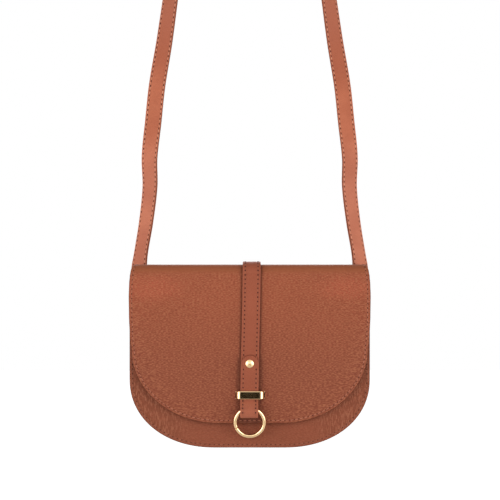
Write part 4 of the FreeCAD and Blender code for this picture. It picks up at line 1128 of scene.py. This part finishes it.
frontLining = lining("frontLining", lambda x, depth, z: place(x, frontLiningY + depth + slackAt(x, z, 3), z))
backLining = lining("backLining", lambda x, depth, z: leaned(x, backLiningY - depth - slackAt(x, z, 11), z))
cutter = closedShell("zipWindow", [
    [leaned(x, backLiningY + reach, inside["zipZ"] + rise * inside["window"] / 2)
     for reach, rise in ((-3, -1), (-3, 1), (3, 1), (3, -1))]  # 3 mm to both sides of the cloth
    for x in (-inside["zipLength"] / 2, inside["zipLength"] / 2)], [liningCloth], lambda i, j: 0)
opening = backLining.modifiers.new("window", "BOOLEAN")
opening.object = cutter
opening.operation = "DIFFERENCE"
opening.solver = "EXACT"
applied(backLining)
bpy.data.objects.remove(cutter)
smoothed(backLining.data)
wallInset = bag["flange"] + bag["gussetLeather"] + bond + cloth / 2
frontGap = frontLiningY + cloth + bond - frontFace - bag["leather"]
backGap = backFace - bag["leather"] - backLiningY + cloth + bond
gussetLining = sideWall("gussetLining", [(wallInset, frontGap, backGap, share) for share in through(0.0, 1.0, 14)],
                        gussetShape["sag"] + 0.5, cloth, [liningCloth] * 2)


def insideStrip(name, y, thickness, middleZ, height, reach, finishes, onBack=True):
    spot, out, up = (leaned, -backOut, -backDown) if onBack else (place, backward, upward)
    return band(name, [(spot(x, y, middleZ), up, out, height / 2) for x in through(-reach, reach, 40)],
                thickness, 6, finishes)


facingReach = bag["halfWidth"] - liningInset - cloth
facingSize = facing, bag["mouth"] - inside["facingHeight"] / 2, inside["facingHeight"], facingReach
facingFinishes = [liningLeather, paintedEdge, liningLeather]
frontFacingY = frontLiningY + cloth + bond + facing / 2
backFacingY = backLiningY - cloth - bond - facing / 2
frontFacing = insideStrip("frontFacing", frontFacingY, *facingSize, facingFinishes, onBack=False)
backFacing = insideStrip("backFacing", backFacingY, *facingSize, facingFinishes)
tapeReach = inside["zipLength"] / 2 + inside["tapeOverrun"]
tapeMiddle = inside["tapeRise"] + inside["tapeWidth"] / 2
upperTape, lowerTape = (
    insideStrip(name, backLiningY + bond + cloth / 2, cloth, inside["zipZ"] + way * tapeMiddle, inside["tapeWidth"],
                tapeReach, [tapeCloth] * 3) for name, way in (("zipTapeUpper", 1), ("zipTapeLower", -1)))
insideRows = []
sewnX = between(inside["seamInset"] - facingReach, facingReach - inside["seamInset"], 50)
for up in (inside["seamInset"], inside["facingHeight"] - inside["seamInset"]):
    z = bag["mouth"] - inside["facingHeight"] + up
    insideRows.append([(place(x, frontFacingY + facing / 2, z), backward) for x in sewnX])
    insideRows.append([(leaned(x, backFacingY - facing / 2, z), -backOut) for x in sewnX])
wide, tall = inside["zipLength"] / 2 + inside["windowSeam"][0], inside["window"] / 2 + inside["windowSeam"][1]
window = corners(wide, -tall, tall)
insideRows.append([(leaned(x0 + (x1 - x0) * t, backLiningY - cloth, inside["zipZ"] + z0 + (z1 - z0) * t), -backOut)
                   for (x0, z0), (x1, z1) in zip(window, window[1:] + window[:1]) for t in between(0.0, 1.0, 20)])
sew("insideSewing", "bag", insideRows, insideSeam)
for piece, *said in (
        (frontLining, "lining_cloth", "front_lining"), (backLining, "lining_cloth", "back_lining"),
        (gussetLining, "lining_cloth", "gusset_lining"), (frontFacing, "lining_leather", "front_facing"),
        (backFacing, "lining_leather", "back_facing"), (upperTape, "zip_tape", "zip_tapes"),
        (lowerTape, "zip_tape")):
    handIn(piece, "bag", *said)
print("inside made")


# Ring: bent from round wire, with its closed joint at the lower left.
ring = {"radius": 14.55, "wire": 1.9, "hang": 12.9, "lean": 16.0, "jointAt": 203.0, "gap": 0.9, "bevel": 0.35,
        "raised": 1.7, "flat": 1.6}
ringTurn = Matrix.Rotation(math.radians(ring["lean"]), 4, "X")
loopPoint = place(0, loopY, loopZ + ring["raised"])


def ringSection(angle, wire):
    # The round wire is flattened a little where the strap's loop hides it, so it turns freely in there.
    radius = ring["radius"] - ring["flat"] * ease(math.sin(angle), 0.83, 0.97)
    section = []
    for around in between(0.0, 2 * math.pi, 24):
        reach = radius + wire * math.cos(around)
        spot = Vector((reach * math.cos(angle), wire * math.sin(around), reach * math.sin(angle) - ring["hang"]))
        section.append(loopPoint + ringTurn @ (spot * mm))
    return section


start, end = (math.radians(ring["jointAt"] + turn) for turn in (ring["gap"], 360 - ring["gap"]))
bevelTurn = ring["bevel"] / ring["radius"]
bevelled = ((0.0, ring["wire"] - ring["bevel"]), (bevelTurn * 0.4, ring["wire"] - ring["bevel"] * 0.3))
sections = [(start + turn, wire) for turn, wire in bevelled]
sections += [(angle, ring["wire"]) for angle in through(start + bevelTurn, end - bevelTurn, 120)]
sections += [(end - turn, wire) for turn, wire in reversed(bevelled)]
closureRing = closedShell("closureRing", [ringSection(*each) for each in sections], [giltMetal], lambda i, j: 0)
handIn(closureRing, "ring", "gold_metal", "closure_ring")


# Keeper: a cast bridge with splayed legs and a slightly arched, polished face.
keeper = {"face": -44.25, "arch": 0.5, "archHalf": 13.0, "reach": 9.2, "flange": 14.7, "footBend": 0.6,
          "shoulder": 4.1, "metal": 1.3, "aside": 0.5, "middle": 52.0, "height": 8.0, "taper": 0.4}


def keeperPath():  # middle of the metal from the left flange to the middle of the face, as (x, y, outward angle)
    faceY, footY = keeper["face"] + keeper["metal"] / 2, flap["face"] - keeper["metal"] / 2
    reach, corner, bend = keeper["reach"], keeper["shoulder"], keeper["footBend"]
    bendX, down = -reach - corner - bend, 1.5 * math.pi

    def archAt(x):  # how far the face falls back at x, and how far it turns there
        return keeper["arch"] * (x / keeper["archHalf"]) ** 2, 2 * keeper["arch"] * x / keeper["archHalf"] ** 2

    spots = [(x, footY, down) for x in between(-keeper["flange"], bendX, 3)]
    spots += [(bendX - bend * math.cos(turn), footY - bend - bend * math.sin(turn), turn)
              for turn in between(down, math.pi, 5)]
    spots.append((bendX + bend, footY - bend, math.pi))
    fall, tilt = archAt(-reach)
    spots += [(corner * math.cos(turn) - reach, faceY + fall + corner + corner * math.sin(turn), turn)
              for turn in between(math.pi, down + tilt, 12)[1:]]
    return spots + [(x, faceY + archAt(x)[0], down + archAt(x)[1]) for x in between(-reach, 0.0, 12)]


leftHalf = keeperPath()
middleSpot = (0.0, keeper["face"] + keeper["metal"] / 2, 1.5 * math.pi)
keeperStations = []
for x, y, turn in leftHalf + [middleSpot] + [(-x, y, math.pi - turn) for x, y, turn in reversed(leftHalf)]:
    half = keeper["height"] / 2 - keeper["taper"] * ease(abs(x), keeper["reach"], keeper["flange"])
    keeperStations.append((place(x + keeper["aside"], y, keeper["middle"]), upward,
                           Vector((math.cos(turn), math.sin(turn), 0)), half))
keeperBridge = band("keeperBridge", keeperStations, keeper["metal"], 8, [giltMetal] * 3)
handIn(keeperBridge, "flap", "gold_metal", "keeper")


# The CAD pieces that keep their shape take these finishes.
keptNodes = {
    fibreBoard: "front_board back_board flap_board", liningCloth: "zip_pocket_bag",
    giltMetal: "zip_teeth zip_stops zip_slider zip_pull", rivetMetal: "closure_rivet strap_rivets",
    steelMetal: "closure_rivet_base keeper_plate snap_socket snap_socket_washer snap_stud snap_stud_washer",
}
for finish, names in keptNodes.items():
    for nodeName in names.split():
        nodes[nodeName].data.materials.clear()
        nodes[nodeName].data.materials.append(finish)


# Camera, light and surroundings. A lamp is (place, size in metres, power).
studio = {
    "distance": 2200.0, "aside": 0.3, "aim": 197.0, "lens": 158.4, "floorZ": -420.0, "floorHalf": 9000.0,
    "floorLift": 0.9, "ambient": 0.16, "lampsAim": 150.0, "card": (520.0, -400.0, -45.0), "cardBehind": 150.0,
    "lamps": {"leftLight": ((-1200, -700, 280), (1.2, 1.6), 17.2),
              "rightLight": ((1200, -700, 280), (1.2, 1.6), 17.2),
              "frontLight": ((0, -950, 480), (1.2, 0.6), 1.1),
              "backLight": ((-500, 1700, 900), (1.6, 1.2), 14.0)},
}
camera = addObject("camera", bpy.data.cameras.new("camera"))
camera.data.lens = studio["lens"]
camera.data.clip_start, camera.data.clip_end = 0.1, 30.0
camera.location = place(studio["aside"], flap["face"] - studio["distance"], studio["aim"])
camera.rotation_euler = (math.pi / 2, 0, 0)
bpy.context.scene.camera = camera
for name, (spot, size, power) in studio["lamps"].items():
    lamp = bpy.data.lights.new(name, "AREA")
    lamp.shape = "RECTANGLE"
    lamp.size, lamp.size_y = size
    lamp.energy = power
    light = addObject(name, lamp)
    light.location = place(*spot)
    light.rotation_euler = (place(0, 0, studio["lampsAim"]) - light.location).to_track_quat("-Z", "Y").to_euler()

cardFinish = finished(newFinish("blackFlagCloth")[0], {"Base Color": "#2E281C", "Roughness": 0.9})
floorFinish, tree = newFinish("whitePaperFloor")
seen = addNode(tree, "LightPath", output="Is Camera Ray")
glow = addNode(tree, "Math", [seen, studio["floorLift"]], operation="MULTIPLY")
finished(floorFinish, {"Base Color": "#F4F4F2", "Roughness": 0.8, "Emission Color": (1, 1, 1, 1),
                       "Emission Strength": glow})
# A dark card round the camera, which only the metal sees, as a photographer hangs one.
cardHalf, cardLow, cardHigh = studio["card"]
cardY, floorHalf = flap["face"] - studio["distance"] - studio["cardBehind"], studio["floorHalf"]
card, floor = (
    makeMesh(name, [place(*spot) for spot in spots], [(0, 1, 2, 3)], [finish], [0]) for name, finish, spots in (
        ("darkCard", cardFinish, [(x, cardY, z) for x, z in corners(cardHalf, cardLow, cardHigh)]),
        ("floor", floorFinish, [(x, y, studio["floorZ"]) for x, y in corners(floorHalf, -floorHalf, floorHalf)])))
card.visible_camera = card.visible_diffuse = card.visible_shadow = card.visible_transmission = False

world = bpy.data.worlds.new("paleStudio")
bpy.context.scene.world = world
world.use_nodes = True
tree = world.node_tree
tree.nodes.clear()
rays = addNode(tree, "LightPath", output="all")
direct = addNode(tree, "Math", [rays["Is Camera Ray"], rays["Is Glossy Ray"]], operation="MAXIMUM")
direct = addNode(tree, "Math", [direct, rays["Is Transmission Ray"]], operation="MAXIMUM")
room, backdrop = (addNode(tree, "Background", {"Color": (1, 1, 1, 1), "Strength": strength})
                  for strength in (studio["ambient"], 1.0))
addNode(tree, "OutputWorld", [addNode(tree, "MixShader", [direct, room, backdrop])])

bpy.context.scene.view_settings.view_transform = "Standard"
print("studio set")
